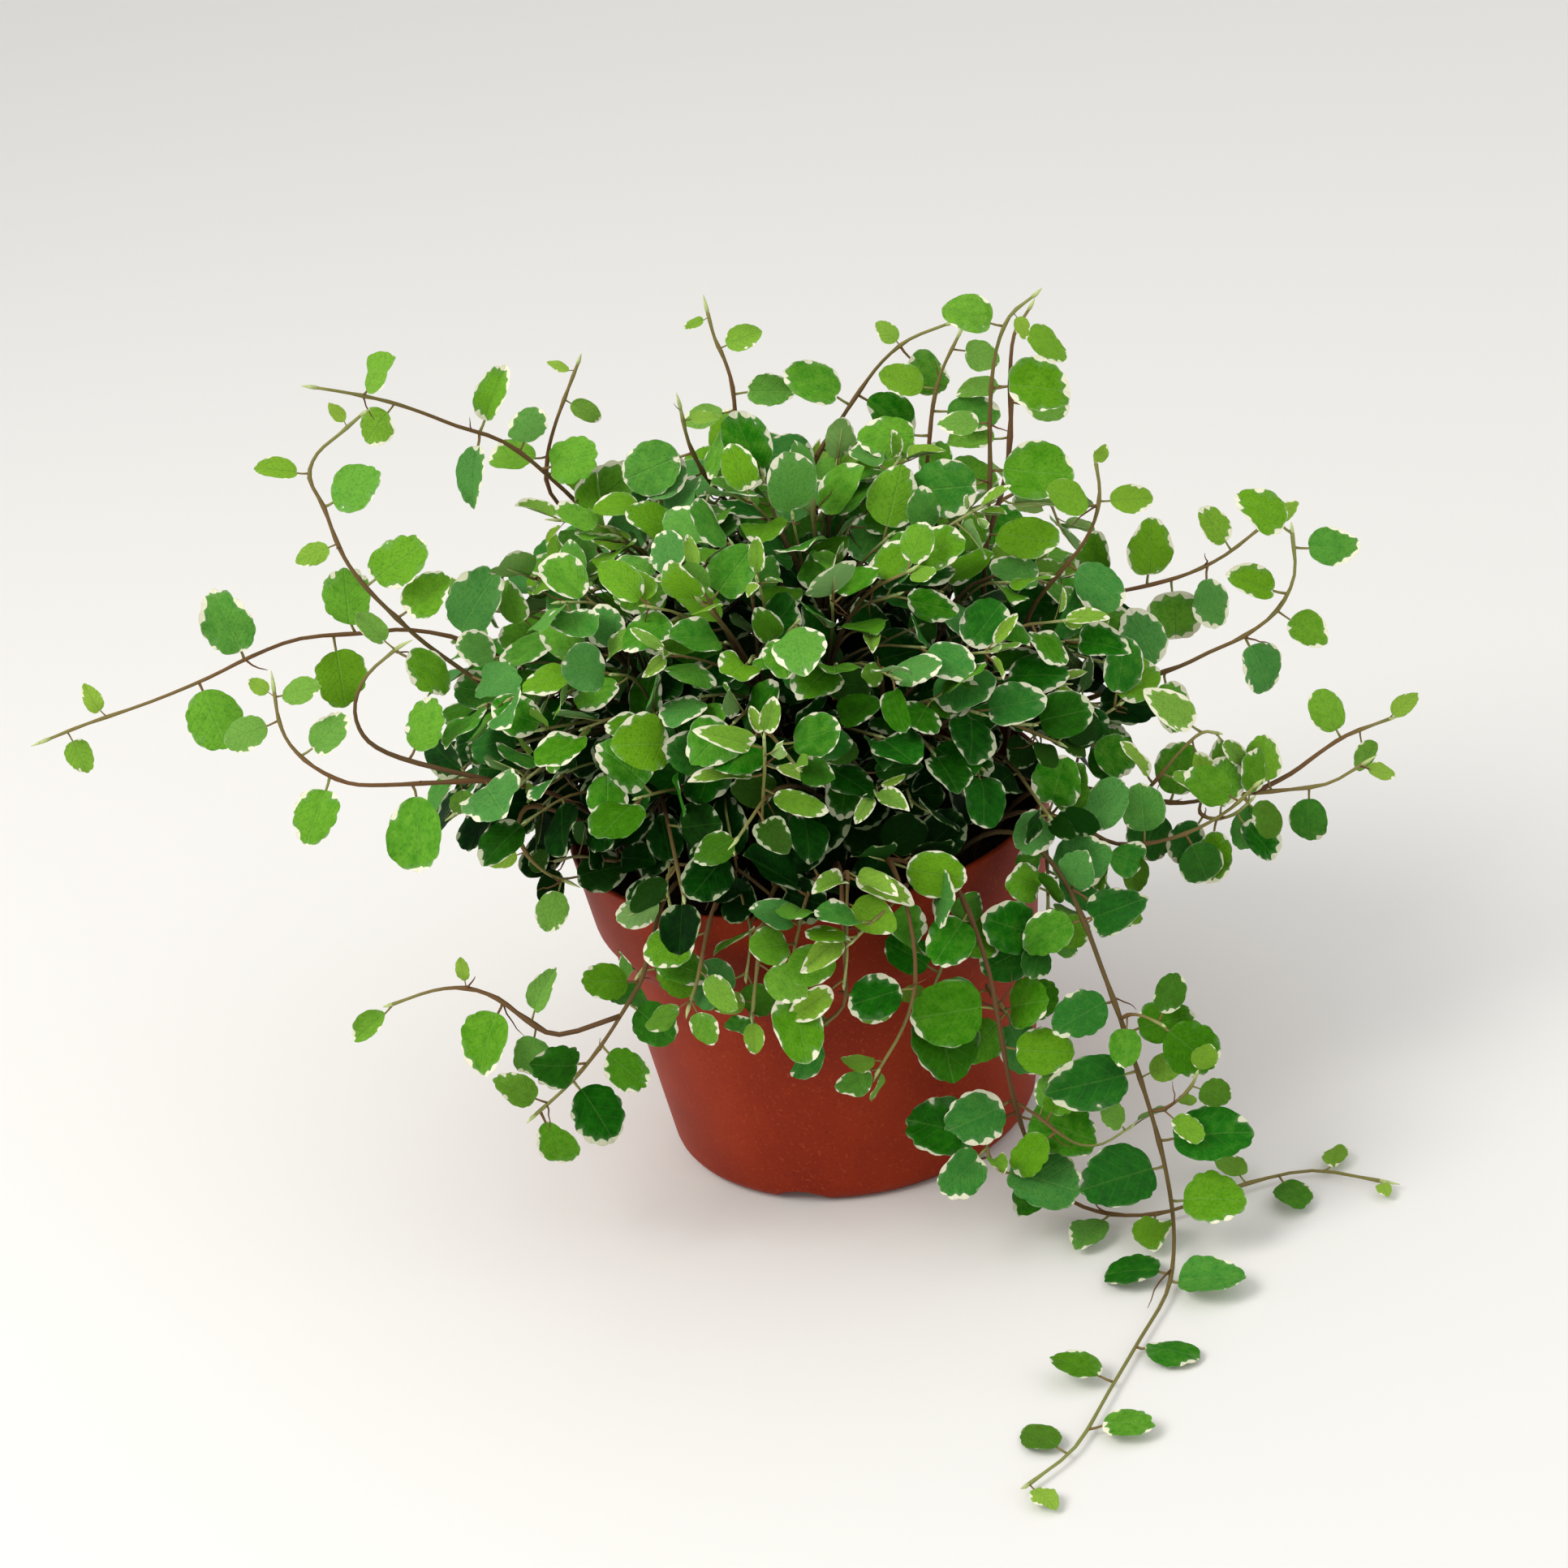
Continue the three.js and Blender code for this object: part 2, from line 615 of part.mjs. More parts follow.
// True where a point lies in or close to a blade
function nearBlade(leaf, point, radius) {
  const offset = point.clone().sub(leaf.heel);
  const share = offset.dot(leaf.forward) / leaf.long;
  const margin = (EDGE_CLEARANCE + radius) / leaf.long;
  const out = (share - 0.5) / (OVAL_LENGTH + margin);
  const across = offset.dot(leaf.side) / leaf.long / (OVAL_WIDTH + margin);
  if (out * out + across * across > 1) return false;
  const height = offset.dot(leaf.normal) + BLADE_DROOP * leaf.long * share * share;
  return Math.abs(height) < BLADE_CLEARANCE + radius;
}

function leafIsClear(leaf) {
  const own = samplesOfLeaf(leaf);
  const middle = bladePoint(leaf, 0.4, 0, 0);
  const reach = leaf.long * NEAR_SHARE + NEAR_MARGIN;
  if (own.some((mine) => !clearOfPot(mine.point, POT_CLEARANCE))) return false;
  for (const other of blades) {
    if (other.heel.distanceTo(middle) > reach + other.long + NEAR_MARGIN) continue;
    if (own.some((mine) => nearBlade(other, mine.point, mine.radius))) return false;
  }
  for (const other of leafSamples) {
    if (other.point.distanceTo(middle) > reach) continue;
    if (nearBlade(leaf, other.point, other.radius)) return false;
  }
  const petiole = own[own.length - 2].point;
  for (const other of stemSamples) {
    if (other.point.distanceTo(middle) > reach + NEAR_MARGIN) continue;
    const shared = other.owner === leaf.owner;
    if (shared && other.point.distanceTo(leaf.foot) < OWN_STEM_REACH) continue;
    if (nearBlade(leaf, other.point, other.radius)) return false;
    if (!shared && other.point.distanceTo(petiole) < PETIOLE_CLEARANCE) return false;
  }
  return true;
}

// Puts a leaf on a stem, turned a little more and made a little smaller at each try until it
// passes clear of all that stands near. One that never does is left off.
function growLeaf(leaves, foot, axis, face, long, owner) {
  for (let attempt = 0; attempt < LEAF_TRIES; attempt += 1) {
    const loose = LEAF_TURN + attempt * TURN_EACH_TRY;
    const aimed = axis.clone().normalize().add(drawVector(loose));
    const tilted = face.clone().normalize().add(drawVector(loose * FACE_TURN));
    const size = long * (1 - attempt * SHRINK_EACH_TRY);
    const petiole = PETIOLE_LENGTH * draw(1 - PETIOLE_SPREAD, 1 + PETIOLE_SPREAD)
      * Math.min(1, long / FULL_PETIOLE_LEAF);
    const wave = draw(-1, 1);
    const leaf = makeLeaf(foot, aimed, tilted, size, petiole, owner);
    if (leafIsClear(leaf)) {
      leaf.wave = wave;
      blades.push(leaf);
      leafSamples.push(...samplesOfLeaf(leaf));
      leaves.push(leaf);
      return;
    }
  }
}

// A leaf whose blade centre is given: it stands on the nearest place of the stem
function growPlacedLeaf(leaves, line, [x, y, z, long], owner) {
  const centre = new THREE.Vector3(x, y, z);
  const total = lengthOf(line);
  let foot = null;
  for (let distance = 2; distance < total; distance += 1) {
    const { point } = placeAt(line, distance);
    if (!foot || point.distanceTo(centre) < foot.distanceTo(centre)) foot = point;
  }
  const axis = centre.clone().sub(foot);
  growLeaf(leaves, foot, axis, z < LYING_HEIGHT ? UP : FACING, long, owner);
}

// Leaves that stand left and right by turns along a stem, from a first distance to its tip
function growLeafRow(leaves, line, first, gap, long, owner) {
  const total = lengthOf(line);
  let side = draw(0, 1) < 0.5 ? -1 : 1;
  for (let distance = first; distance < total; distance += gap * draw(1 - GAP_SPREAD, 1 + GAP_SPREAD)) {
    const { point, direction } = placeAt(line, distance);
    const outward = point.clone().sub(MOUND_CENTRE).normalize();
    const face = outward.multiplyScalar(FACE_OUTWARD).addScaledVector(UP, FACE_UPWARD);
    const across = direction.clone().cross(face).normalize().multiplyScalar(side);
    const axis = across.addScaledVector(direction, LEAN_ALONG).addScaledVector(face, LEAN_OUTWARD);
    const ripeness = Math.min(1, (total - distance) / RIPE_DISTANCE);
    const size = long * (TIP_LEAF_SHARE + (1 - TIP_LEAF_SHARE) * ripeness)
      * draw(SMALLEST_SHARE, LARGEST_SHARE);
    growLeaf(leaves, point, axis, face, size, owner);
    side = -side;
  }
}

// A stem as a bent and tapered closed tube
function stemSolid(line) {
  const rings = line.length - 1;
  const geometry = new THREE.CylinderGeometry(1, 1, rings, STEM_SIDES, rings);
  const frames = [];
  let normal = START_SIDE;
  for (let i = 0; i <= rings; i += 1) {
    const before = line[Math.max(i - 1, 0)];
    const after = line[Math.min(i + 1, rings)];
    const tangent = after.clone().sub(before).normalize();
    normal = normal.clone().addScaledVector(tangent, -normal.dot(tangent)).normalize();
    frames.push({ normal, side: normal.clone().cross(tangent) });
  }
  const position = geometry.attributes.position;
  for (let i = 0; i < position.count; i += 1) {
    const ring = Math.round(position.getY(i) + rings / 2);
    const radius = STEM_RADIUS + ((TIP_RADIUS - STEM_RADIUS) * ring) / rings;
    const point = line[ring].clone()
      .addScaledVector(frames[ring].normal, position.getX(i) * radius)
      .addScaledVector(frames[ring].side, position.getZ(i) * radius);
    position.setXYZ(i, point.x, point.y, point.z);
  }
  return solid(geometry);
}

function outlineOf(long) {
  if (long < YOUNG_LENGTH) return YOUNG_OUTLINE;
  return long < TOOTHED_LENGTH ? OUTLINE : TOOTHED_OUTLINE;
}

// A blade of even thickness whose three-cornered petiole runs into the stem
function leafSolid(leaf) {
  const outline = outlineOf(leaf.long);
  const half = BLADE_THICKNESS / 2;
  const points = [leaf.foot.clone().addScaledVector(leaf.forward, -PETIOLE_SINK)];
  outline.forEach(([share, width], row) => {
    const wave = EDGE_WAVE * leaf.long * leaf.wave * (row % 2 ? 1 : -1);
    const left = row ? wave : 0;
    const right = row ? -wave : 0;
    points.push(bladePoint(leaf, share, width, half + left));
    points.push(bladePoint(leaf, share, -width, half + right));
    if (row) {
      points.push(bladePoint(leaf, share, -width, right - half));
      points.push(bladePoint(leaf, share, width, left - half));
    } else {
      points.push(bladePoint(leaf, share, 0, -half));
    }
  });
  // Corners by row: top left, top right, low right, low left, where the first row has one low
  const corner = (row, k) => {
    if (row === 0) return 1 + Math.min(k, 2);
    return 4 + (row - 1) * 4 + k;
  };
  const faces = [];
  const quad = (a, b, c, d) => faces.push(a, b, c, a, c, d);
  const last = outline.length - 1;
  for (let row = 0; row < last; row += 1) {
    const [tl, tr, lr, ll] = [0, 1, 2, 3].map((k) => corner(row, k));
    const [nextTl, nextTr, nextLr, nextLl] = [0, 1, 2, 3].map((k) => corner(row + 1, k));
    faces.push(tr, nextTr, nextTl, tr, nextTl, tl);
    if (row) faces.push(lr, nextLl, nextLr, lr, ll, nextLl);
    else faces.push(lr, nextLl, nextLr);
    faces.push(tl, nextTl, nextLl, tl, nextLl, ll);
    faces.push(tr, nextLr, nextTr, tr, lr, nextLr);
  }
  quad(corner(last, 1), corner(last, 2), corner(last, 3), corner(last, 0));
  faces.push(0, 2, 1, 0, 1, 3, 0, 3, 2);
  const geometry = new THREE.BufferGeometry().setFromPoints(points);
  geometry.setIndex(faces);
  return solid(geometry);
}

function joined(solids) {
  return solids.reduce((sum, next) => sum.add(next));
}

// The stems first, then the leaves on them, so that each leaf can pass clear of every stem
const plants = [];
for (const { name, shoots } of RUNNERS) {
  const plant = { name, lines: [], leaves: [], rows: [] };
  for (const shoot of shoots) {
    const start = shoot.root
      ? rootPoints(shoot.root)
      : [placeAt(plant.lines[0], lengthOf(plant.lines[0]) * shoot.from).point];
    const line = routeStem(start, shoot.path, name);
    plant.lines.push(line);
    plant.rows.push({ line, placed: shoot.leaves });
  }
  plant.root = shoots[0].root;
  plants.push(plant);
}
for (const { name, root, path } of HANGING) {
  const line = routeStem(rootPoints(root), path, name);
  const rows = [{ line, first: HANGING_FIRST_LEAF, gap: HANGING_GAP, long: HANGING_LEAF }];
  plants.push({ name, root, lines: [line], leaves: [], rows });
}
for (let i = 0; i < MOUND_STEMS; i += 1) {
  const name = `mound_stem_${i + 1}`;
  const turn = i * GOLDEN_TURN * DEGREE;
  const distance = INNER_ROOT + (OUTER_ROOT - INNER_ROOT) * Math.sqrt(i / MOUND_STEMS);
  const root = [Math.round(distance * Math.cos(turn)), Math.round(distance * Math.sin(turn))];
  const plant = { name, root, lines: [], leaves: [], rows: [] };
  for (let k = 0; k < 2; k += 1) {
    const rank = (i * 2 + k + 0.5) / (MOUND_STEMS * 2);
    const rise = Math.asin(1 - rank * LOWEST_RANK);
    const aim = turn + (k ? BRANCH_SPREAD : -BRANCH_SPREAD) + draw(-AIM_SPREAD, AIM_SPREAD);
    const out = new THREE.Vector3(
      Math.cos(aim) * Math.cos(rise) * MOUND_RADIUS,
      Math.sin(aim) * Math.cos(rise) * MOUND_RADIUS,
      Math.sin(rise) * MOUND_HEIGHT,
    );
    const tip = MOUND_CENTRE.clone().add(out);
    const start = k
      ? [placeAt(plant.lines[0], lengthOf(plant.lines[0]) * BRANCH_FROM).point]
      : rootPoints(root);
    const low = start[start.length - 1];
    const arch = low.clone().lerp(tip, 0.5);
    arch.z += ARCH_RISE + ARCH_MORE * Math.cos(rise);
    const path = [arch.toArray(), tip.toArray()];
    const line = routeStem(start, path, name);
    plant.lines.push(line);
    const first = k ? BRANCH_FIRST_LEAF : MOUND_FIRST_LEAF;
    plant.rows.push({ line, first, gap: MOUND_GAP, long: MOUND_LEAF });
  }
  plants.push(plant);
}

for (const plant of plants) {
  for (const row of plant.rows) {
    if (row.placed) {
      for (const placed of row.placed) growPlacedLeaf(plant.leaves, row.line, placed, plant.name);
    } else {
      growLeafRow(plant.leaves, row.line, row.first, row.gap, row.long, plant.name);
    }
  }
}

const fig = new THREE.Group();
fig.add(meshOf('pot', makePot(), materials.pot));
fig.add(meshOf('soil', makeSoil(plants.map((plant) => plant.root)), materials.soil));
for (const plant of plants) {
  const body = joined([...plant.lines.map(stemSolid), ...plant.leaves.map(leafSolid)]);
  fig.add(meshOf(plant.name, body, materials.foliage));
}

export default fig;
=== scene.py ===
# A potted creeping fig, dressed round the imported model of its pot, soil and leafy stems. The
# stems and leaves grow by the same rules and the same seeded draws as the model's own, so each
# fine leaf lies where its plain one does. Side shoots with more leaves then fill the mound.
import math

import bmesh
import bpy
import numpy as np
from mathutils import Matrix, Vector, noise


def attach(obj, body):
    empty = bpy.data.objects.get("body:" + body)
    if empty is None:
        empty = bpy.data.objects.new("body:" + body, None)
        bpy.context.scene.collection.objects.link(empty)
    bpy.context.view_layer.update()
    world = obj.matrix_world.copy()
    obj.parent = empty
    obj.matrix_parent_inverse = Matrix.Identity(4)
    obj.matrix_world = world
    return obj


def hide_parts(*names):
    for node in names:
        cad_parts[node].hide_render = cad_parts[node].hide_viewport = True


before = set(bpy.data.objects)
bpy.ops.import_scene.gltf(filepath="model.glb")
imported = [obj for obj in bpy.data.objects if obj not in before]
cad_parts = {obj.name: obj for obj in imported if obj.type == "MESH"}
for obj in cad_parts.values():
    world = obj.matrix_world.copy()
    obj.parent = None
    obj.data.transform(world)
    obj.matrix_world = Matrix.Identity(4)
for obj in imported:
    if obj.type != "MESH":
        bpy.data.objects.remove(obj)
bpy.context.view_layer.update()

bl_info = {
    "name": "Potted creeping fig",
    "version": (1, 0, 0),
    "blender": (4, 5, 0),
    "location": "View3D > Sidebar > Creeping fig",
    "description": "Dresses the pot, soil and leafy stems of a variegated creeping fig",
    "category": "Add Mesh",
}

MM = 0.001
DEGREE = math.pi / 180


def linear(code):
    """An sRGB hex colour as the linear numbers that shaders and lights take"""
    parts = [int(code[i : i + 2], 16) / 255 for i in (1, 3, 5)]
    return tuple(c / 12.92 if c <= 0.04045 else ((c + 0.055) / 1.055) ** 2.4 for c in parts)


# Sizes of the pot and soil, in millimetres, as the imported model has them. Its grooves are a
# little lower.
RIM_RADIUS = 60
RIM_HEIGHT = 88
COLLAR_HEIGHT = 23
COLLAR_TAPER = 3
COLLAR_STEP = 2.8
BASE_RADIUS = 46.5
BASE_ROUNDING = 4
WALL = 1.6
FLOOR_THICKNESS = 5
COLLAR_FOOT = RIM_HEIGHT - COLLAR_HEIGHT
COLLAR_FOOT_RADIUS = RIM_RADIUS - COLLAR_TAPER
BODY_TOP_RADIUS = COLLAR_FOOT_RADIUS - COLLAR_STEP
STEP_FOOT = COLLAR_FOOT - COLLAR_STEP
INNER_FOOT = BASE_RADIUS + (BODY_TOP_RADIUS - BASE_RADIUS) / COLLAR_FOOT * FLOOR_THICKNESS - WALL
GROOVE_COUNT = 4
GROOVE_WIDTH = 14
GROOVE_HEIGHT = 3.8
GROOVE_INNER_END = 16
GROOVE_OVERSHOOT = 10
GROOVE_TURN = -112
DRAIN_RADIUS = 4
DRAIN_DISTANCE = 28
SOIL_TOP = 79
SEAT_GAP = 0.3
ROOT_DEPTH = 9
ROOT_RISE = 4

# The finer finish of the pot and soil: roundings, and the compost's uneven top and its crumbs
COLLAR_ROUNDING = 2.2
SHARP_ANGLE = 35
SOIL_RINGS = 24
SOIL_STEPS = 72
SOIL_BUMPS = 0.16
CRUMB_SIZES = (0.7, 2.2)
CRUMB_DENTS = 0.35
SOIL_SEED = 31

# Sizes of the patterns in the finishes, in millimetres. The plastic's real grain is some 0.4 mm
# and the bark's streaks are finer still, so they are drawn as coarse as they need to show.
CLOUD_SIZE = 22
GRAIN_SIZE = 0.9
SPECK_SIZE = 1.6
LUMP_SIZE = 5
FIBRE_SIZE = 2
STREAK_SIZE = 1.2
PAPER_TOOTH = 3

# How stems are drawn and kept clear of each other
RINGS_PER_SPAN = 1.25
STEM_RADIUS = 1.15
TIP_RADIUS = 0.8
STEM_CLEARANCE = 0.6
SAMPLE_STEP = 2.5
ROUTE_TRIES = 60
ROUTE_BEND = 0.25

# The oval that a blade fills, as shares of its length, and the room that a leaf keeps
YOUNG_LENGTH = 11.5
BLADE_DROOP = 0.12
EDGE_WAVE = 0.03
PETIOLE_LENGTH = 3.2
PETIOLE_SPREAD = 0.2
FULL_PETIOLE_LEAF = 10
OVAL_LENGTH = 0.52
OVAL_WIDTH = 0.44
BLADE_CLEARANCE = 1.5
EDGE_CLEARANCE = 1.2
POT_CLEARANCE = 0.9
PETIOLE_CLEARANCE = 2.6
OWN_STEM_REACH = 5
BLADE_ROWS = [0.06, 0.25, 0.43, 0.61, 0.79, 0.97]
BLADE_COLUMNS = [-1, -0.5, 0, 0.5, 1]
NEAR_SHARE = 0.8
NEAR_MARGIN = 3
STALK_RADIUS = 0.5
PACKED_ROOM = (EDGE_CLEARANCE, BLADE_CLEARANCE)

# How a leaf is turned and shrunk from one try to the next
LEAF_TRIES = 14
LEAF_TURN = 0.12
TURN_EACH_TRY = 0.07
FACE_TURN = 1.3
SHRINK_EACH_TRY = 0.02
LYING_HEIGHT = 6

# How the leaves in a row stand, as shares of the directions that they lean in, and how their
# sizes and gaps vary
FACE_OUTWARD = 0.8
FACE_UPWARD = 0.5
LEAN_ALONG = 0.55
LEAN_OUTWARD = 0.25
TIP_LEAF_SHARE = 0.6
RIPE_DISTANCE = 25
SMALLEST_SHARE = 0.85
LARGEST_SHARE = 1.12
GAP_SPREAD = 0.15

# The mound: leafy stems that rise from the soil and spread to a rounded crown
MOUND_STEMS = 14
MOUND_CENTRE = np.array([0.0, 0.0, 96.0])
MOUND_RADIUS = 74
MOUND_HEIGHT = 76
MOUND_GAP = 11.9
MOUND_LEAF = 15
MOUND_FIRST_LEAF = 24
BRANCH_FIRST_LEAF = 8
BRANCH_FROM = 0.35
BRANCH_SPREAD = 0.55
AIM_SPREAD = 0.15
LOWEST_RANK = 1.02
ARCH_RISE = 10
ARCH_MORE = 8
INNER_ROOT = 7
OUTER_ROOT = 34
GOLDEN_TURN = 137.508
SEED = 4171

UP = np.array([0.0, 0.0, 1.0])
FACING = np.array([0.0, -0.66, 0.6])

# Long runners, each as its shoots. A shoot has its place in the soil, or the share of the first
# shoot's length at which it branches off, then the points of its path, and the blade centres
# and lengths of its leaves: (x, y, z, length).
RUNNERS = {
    "runner_far_left": [(
        (-44, 10),
        [(-52, 8, 112), (-66, 6, 135), (-84, 6, 146), (-97, 4, 149), (-115, 0, 152),
         (-129, -4, 150), (-143, -8, 147), (-163, -10, 144), (-175, -12, 142)],
        [(-128, -5, 160, 15), (-137, -8, 143, 14), (-163, -11, 151, 7), (-170, -12, 138, 8),
         (-107, 0, 142, 14), (-101, 3, 158, 14), (-74, 4, 150, 17), (-60, 2, 128, 14)],
    )],
    "runner_upper_left": [(
        (-30, 26),
        [(-32, 25, 120), (-36, 23, 150), (-47, 20, 172), (-58, 16, 187), (-70, 10, 196),
         (-78, 8, 202), (-88, 4, 208), (-97, 2, 212)],
        [(-85, 2, 211, 11), (-84, 8, 200, 10), (-64, 10, 187, 13), (-58, 14, 198, 13),
         (-52, 22, 186, 11), (-46, 16, 180, 13), (-36, 20, 168, 14), (-44, 18, 160, 13)],
    )],
    "runner_left_curve": [(
        (-45, -8),
        [(-54, -9, 112), (-68, -10, 132), (-82, -14, 150), (-89, -16, 161), (-95, -16, 171),
         (-98, -14, 179), (-100, -10, 188), (-102, -6, 196), (-95, -4, 201), (-88, -2, 205)],
        [(-110, -7, 199, 9), (-92, -11, 190, 13), (-105, -15, 178, 8), (-88, -18, 172, 15),
         (-93, -3, 207, 5), (-83, -16, 162, 12), (-72, -14, 140, 13)],
    )],
    "runner_left_curl": [(
        (-42, -22),
        [(-50, -24, 104), (-66, -27, 117), (-81, -30, 122), (-97, -34, 126), (-107, -34, 129),
         (-115, -32, 136), (-118, -30, 143), (-118, -28, 151)],
        [(-127, -30, 143, 10), (-111, -30, 152, 9), (-122, -28, 154, 5), (-106, -31, 142, 11),
         (-111, -36, 127, 13), (-91, -35, 117, 17), (-82, -28, 112, 9), (-74, -33, 120, 17)],
    ), (
        0.47,
        [(-92, -26, 128), (-100, -21, 132), (-102, -20, 139), (-98, -22, 148), (-89, -24, 155)],
        [(-86, -25, 138, 13), (-84, -24, 149, 13), (-93, -24, 160, 9)],
    )],
    "runner_left_rim": [(
        (-38, -30),
        [(-48, -31, 101), (-58, -31, 110), (-66, -31, 113), (-69, -33, 106), (-65, -36, 99),
         (-60, -38, 96)],
        [(-74, -34, 102, 7), (-64, -38, 90, 10), (-53, -38, 97, 12), (-66, -29, 119, 8),
         (-48, -30, 112, 13)],
    )],
    "runner_lower_left": [(
        (-26, -38),
        [(-32, -46, 96), (-39, -54, 91), (-44, -59, 80), (-51, -59, 70), (-59, -58, 60),
         (-67, -57, 52), (-76, -56, 45)],
        [(-36, -61, 80, 12), (-50, -62, 80, 12), (-56, -60, 60, 12), (-45, -64, 70, 12),
         (-67, -60, 61, 13), (-61, -60, 48, 14), (-73, -57, 38, 13), (-78, -58, 53, 10),
         (-28, -51, 98, 13)],
    ), (
        0.66,
        [(-69, -55, 65), (-76, -51, 71), (-84, -48, 76), (-93, -46, 77), (-105, -44, 74)],
        [(-84, -50, 67, 16), (-110, -44, 71, 10), (-86, -47, 83, 6), (-74, -53, 62, 11),
         (-70, -52, 74, 10)],
    )],
    "sprig_top_left": [(
        (-20, 34),
        [(-26, 33, 115), (-38, 30, 145), (-50, 28, 168), (-48, 28, 180), (-44, 30, 188),
         (-38, 32, 198)],
        [(-37, 31, 187, 8), (-42, 32, 198, 5), (-56, 29, 178, 11), (-43, 30, 172, 12),
         (-48, 26, 155, 14), (-33, 34, 152, 14)],
    )],
    "sprig_top_middle": [(
        (-4, 36),
        [(-5, 34, 120), (-6, 28, 155), (-3, 25, 176), (-2, 26, 191), (-4, 28, 198),
         (-5, 30, 206)],
        [(2, 27, 199, 8), (2, 24, 187, 11), (-8, 25, 182, 9), (-7, 29, 205, 5), (4, 26, 172, 14),
         (-13, 28, 166, 14)],
    ), (
        0.62,
        [(-10, 18, 166), (-14, 12, 178), (-15, 10, 190)],
        [(-20, 11, 177, 14), (-12, 10, 187, 6), (-7, 12, 172, 12)],
    )],
    "sprig_top_right": [(
        (12, 32),
        [(12, 28, 120), (12, 20, 155), (15, 18, 169), (23, 20, 178), (31, 20, 187), (39, 16, 195),
         (50, 10, 200)],
        [(42, 17, 190, 12), (32, 20, 179, 14), (20, 20, 186, 14), (36, 17, 199, 6),
         (8, 18, 177, 16), (22, 16, 168, 15), (4, 22, 160, 15)],
    )],
    "sprig_tall": [(
        (44, 2),
        [(46, 0, 110), (50, -3, 140), (54, -4, 163), (56, -4, 179), (58, -6, 192), (62, -6, 203),
         (69, -8, 209)],
        [(54, -6, 206, 11), (68, -5, 186, 15), (50, -5, 180, 9), (66, -6, 167, 16),
         (46, -4, 165, 15), (66, -8, 203, 5), (61, -8, 151, 15), (43, -6, 150, 14),
         (58, -4, 134, 15)],
    ), (
        0.55,
        [(60, 4, 166), (63, 11, 180), (65, 13, 192), (70, 14, 199)],
        [(73, 12, 191, 11), (70, 10, 177, 10), (57, 10, 184, 9), (54, 8, 172, 11)],
    )],
    "sprig_upright": [(
        (30, 16),
        [(33, 15, 120), (38, 12, 145), (40, 10, 161), (43, 10, 175), (46, 10, 186), (52, 8, 197)],
        [(56, 9, 192, 9), (40, 10, 186, 10), (51, 9, 178, 12), (34, 10, 176, 13),
         (33, 10, 160, 13), (47, 8, 162, 14)],
    )],
    "sprig_right": [(
        (47, -10),
        [(51, -10, 105), (57, -10, 128), (66, -12, 141), (74, -14, 150), (78, -16, 160),
         (78, -18, 170)],
        [(83, -16, 159, 10), (71, -15, 160, 12), (79, -19, 173, 5), (71, -14, 143, 13),
         (62, -13, 142, 13), (66, -10, 128, 14)],
    )],
    "runner_right": [(
        (50, 12),
        [(57, 8, 96), (68, -2, 103), (79, -9, 109), (93, -14, 114), (102, -16, 118),
         (113, -18, 123), (121, -18, 132), (122, -18, 145)],
        [(130, -18, 141, 12), (117, -19, 151, 13), (112, -20, 134, 13), (122, -19, 122, 10),
         (111, -17, 114, 13), (91, -14, 104, 13), (86, -12, 119, 14), (74, -6, 98, 12)],
    )],
    "runner_right_back": [(
        (44, 22),
        [(52, 16, 108), (62, 6, 122), (72, 2, 128), (83, 2, 129), (95, 4, 129), (107, 6, 131),
         (119, 6, 138)],
        [(90, 2, 138, 14), (96, 4, 120, 16), (107, 5, 122, 13), (108, 6, 140, 10),
         (79, 1, 120, 13), (77, 2, 138, 12), (126, 6, 142, 8), (63, 5, 132, 13)],
    )],
    "runner_lower_right": [(
        (44, -22),
        [(54, -26, 94), (66, -27, 92), (78, -26, 87), (90, -27, 84), (102, -28, 85),
         (120, -28, 83), (132, -28, 87)],
        [(119, -28, 76, 12), (110, -28, 91, 12), (104, -29, 78, 12), (98, -28, 94, 11),
         (88, -27, 93, 14), (82, -26, 78, 13), (137, -28, 84, 7), (72, -26, 100, 13)],
    ), (
        0.75,
        [(118, -26, 88), (127, -23, 92), (141, -20, 94)],
        [(127, -24, 99, 11), (134, -21, 86, 9), (145, -20, 97, 7)],
    )],
    "runner_low_right": [(
        (37, -31),
        [(48, -38, 95), (60, -42, 91), (70, -42, 84), (83, -42, 83), (95, -44, 88),
         (103, -46, 95)],
        [(89, -42, 75, 12), (104, -45, 88, 10), (94, -44, 97, 11), (78, -42, 92, 12),
         (73, -42, 75, 10), (60, -44, 101, 13), (61, -43, 80, 12)],
    )],
    "runner_trailing": [(
        (30, -38),
        [(41, -45, 94), (51, -53, 92), (57, -62, 80), (60, -68, 68), (63, -75, 54), (65, -80, 42),
         (67, -85, 29), (68, -88, 13), (66, -97, 4), (60, -113, 2), (48, -132, 2), (36, -155, 2),
         (22, -168, 2)],
        [(63, -68, 80, 14), (50, -64, 75, 12), (56, -74, 60, 13), (73, -77, 55, 13),
         (76, -80, 45, 9), (55, -83, 44, 18), (78, -88, 30, 17), (58, -89, 23, 18),
         (78, -91, 14, 14), (55, -98, 4, 13), (72, -108, 4, 15), (61, -131, 3, 12),
         (38, -133, 3, 12), (43, -154, 3, 11), (26, -153, 3, 10), (26, -174, 3, 7)],
    )],
    "runner_floor_right": [(
        (20, -42),
        [(25, -51, 94), (30, -61, 90), (34, -68, 74), (35, -70, 56), (36, -69, 37), (39, -66, 18),
         (45, -66, 5), (55, -74, 3), (68, -77, 3), (81, -73, 3), (101, -67, 2), (119, -77, 2)],
        [(44, -72, 31, 16), (27, -71, 62, 17), (34, -76, 8, 12), (27, -72, 34, 14),
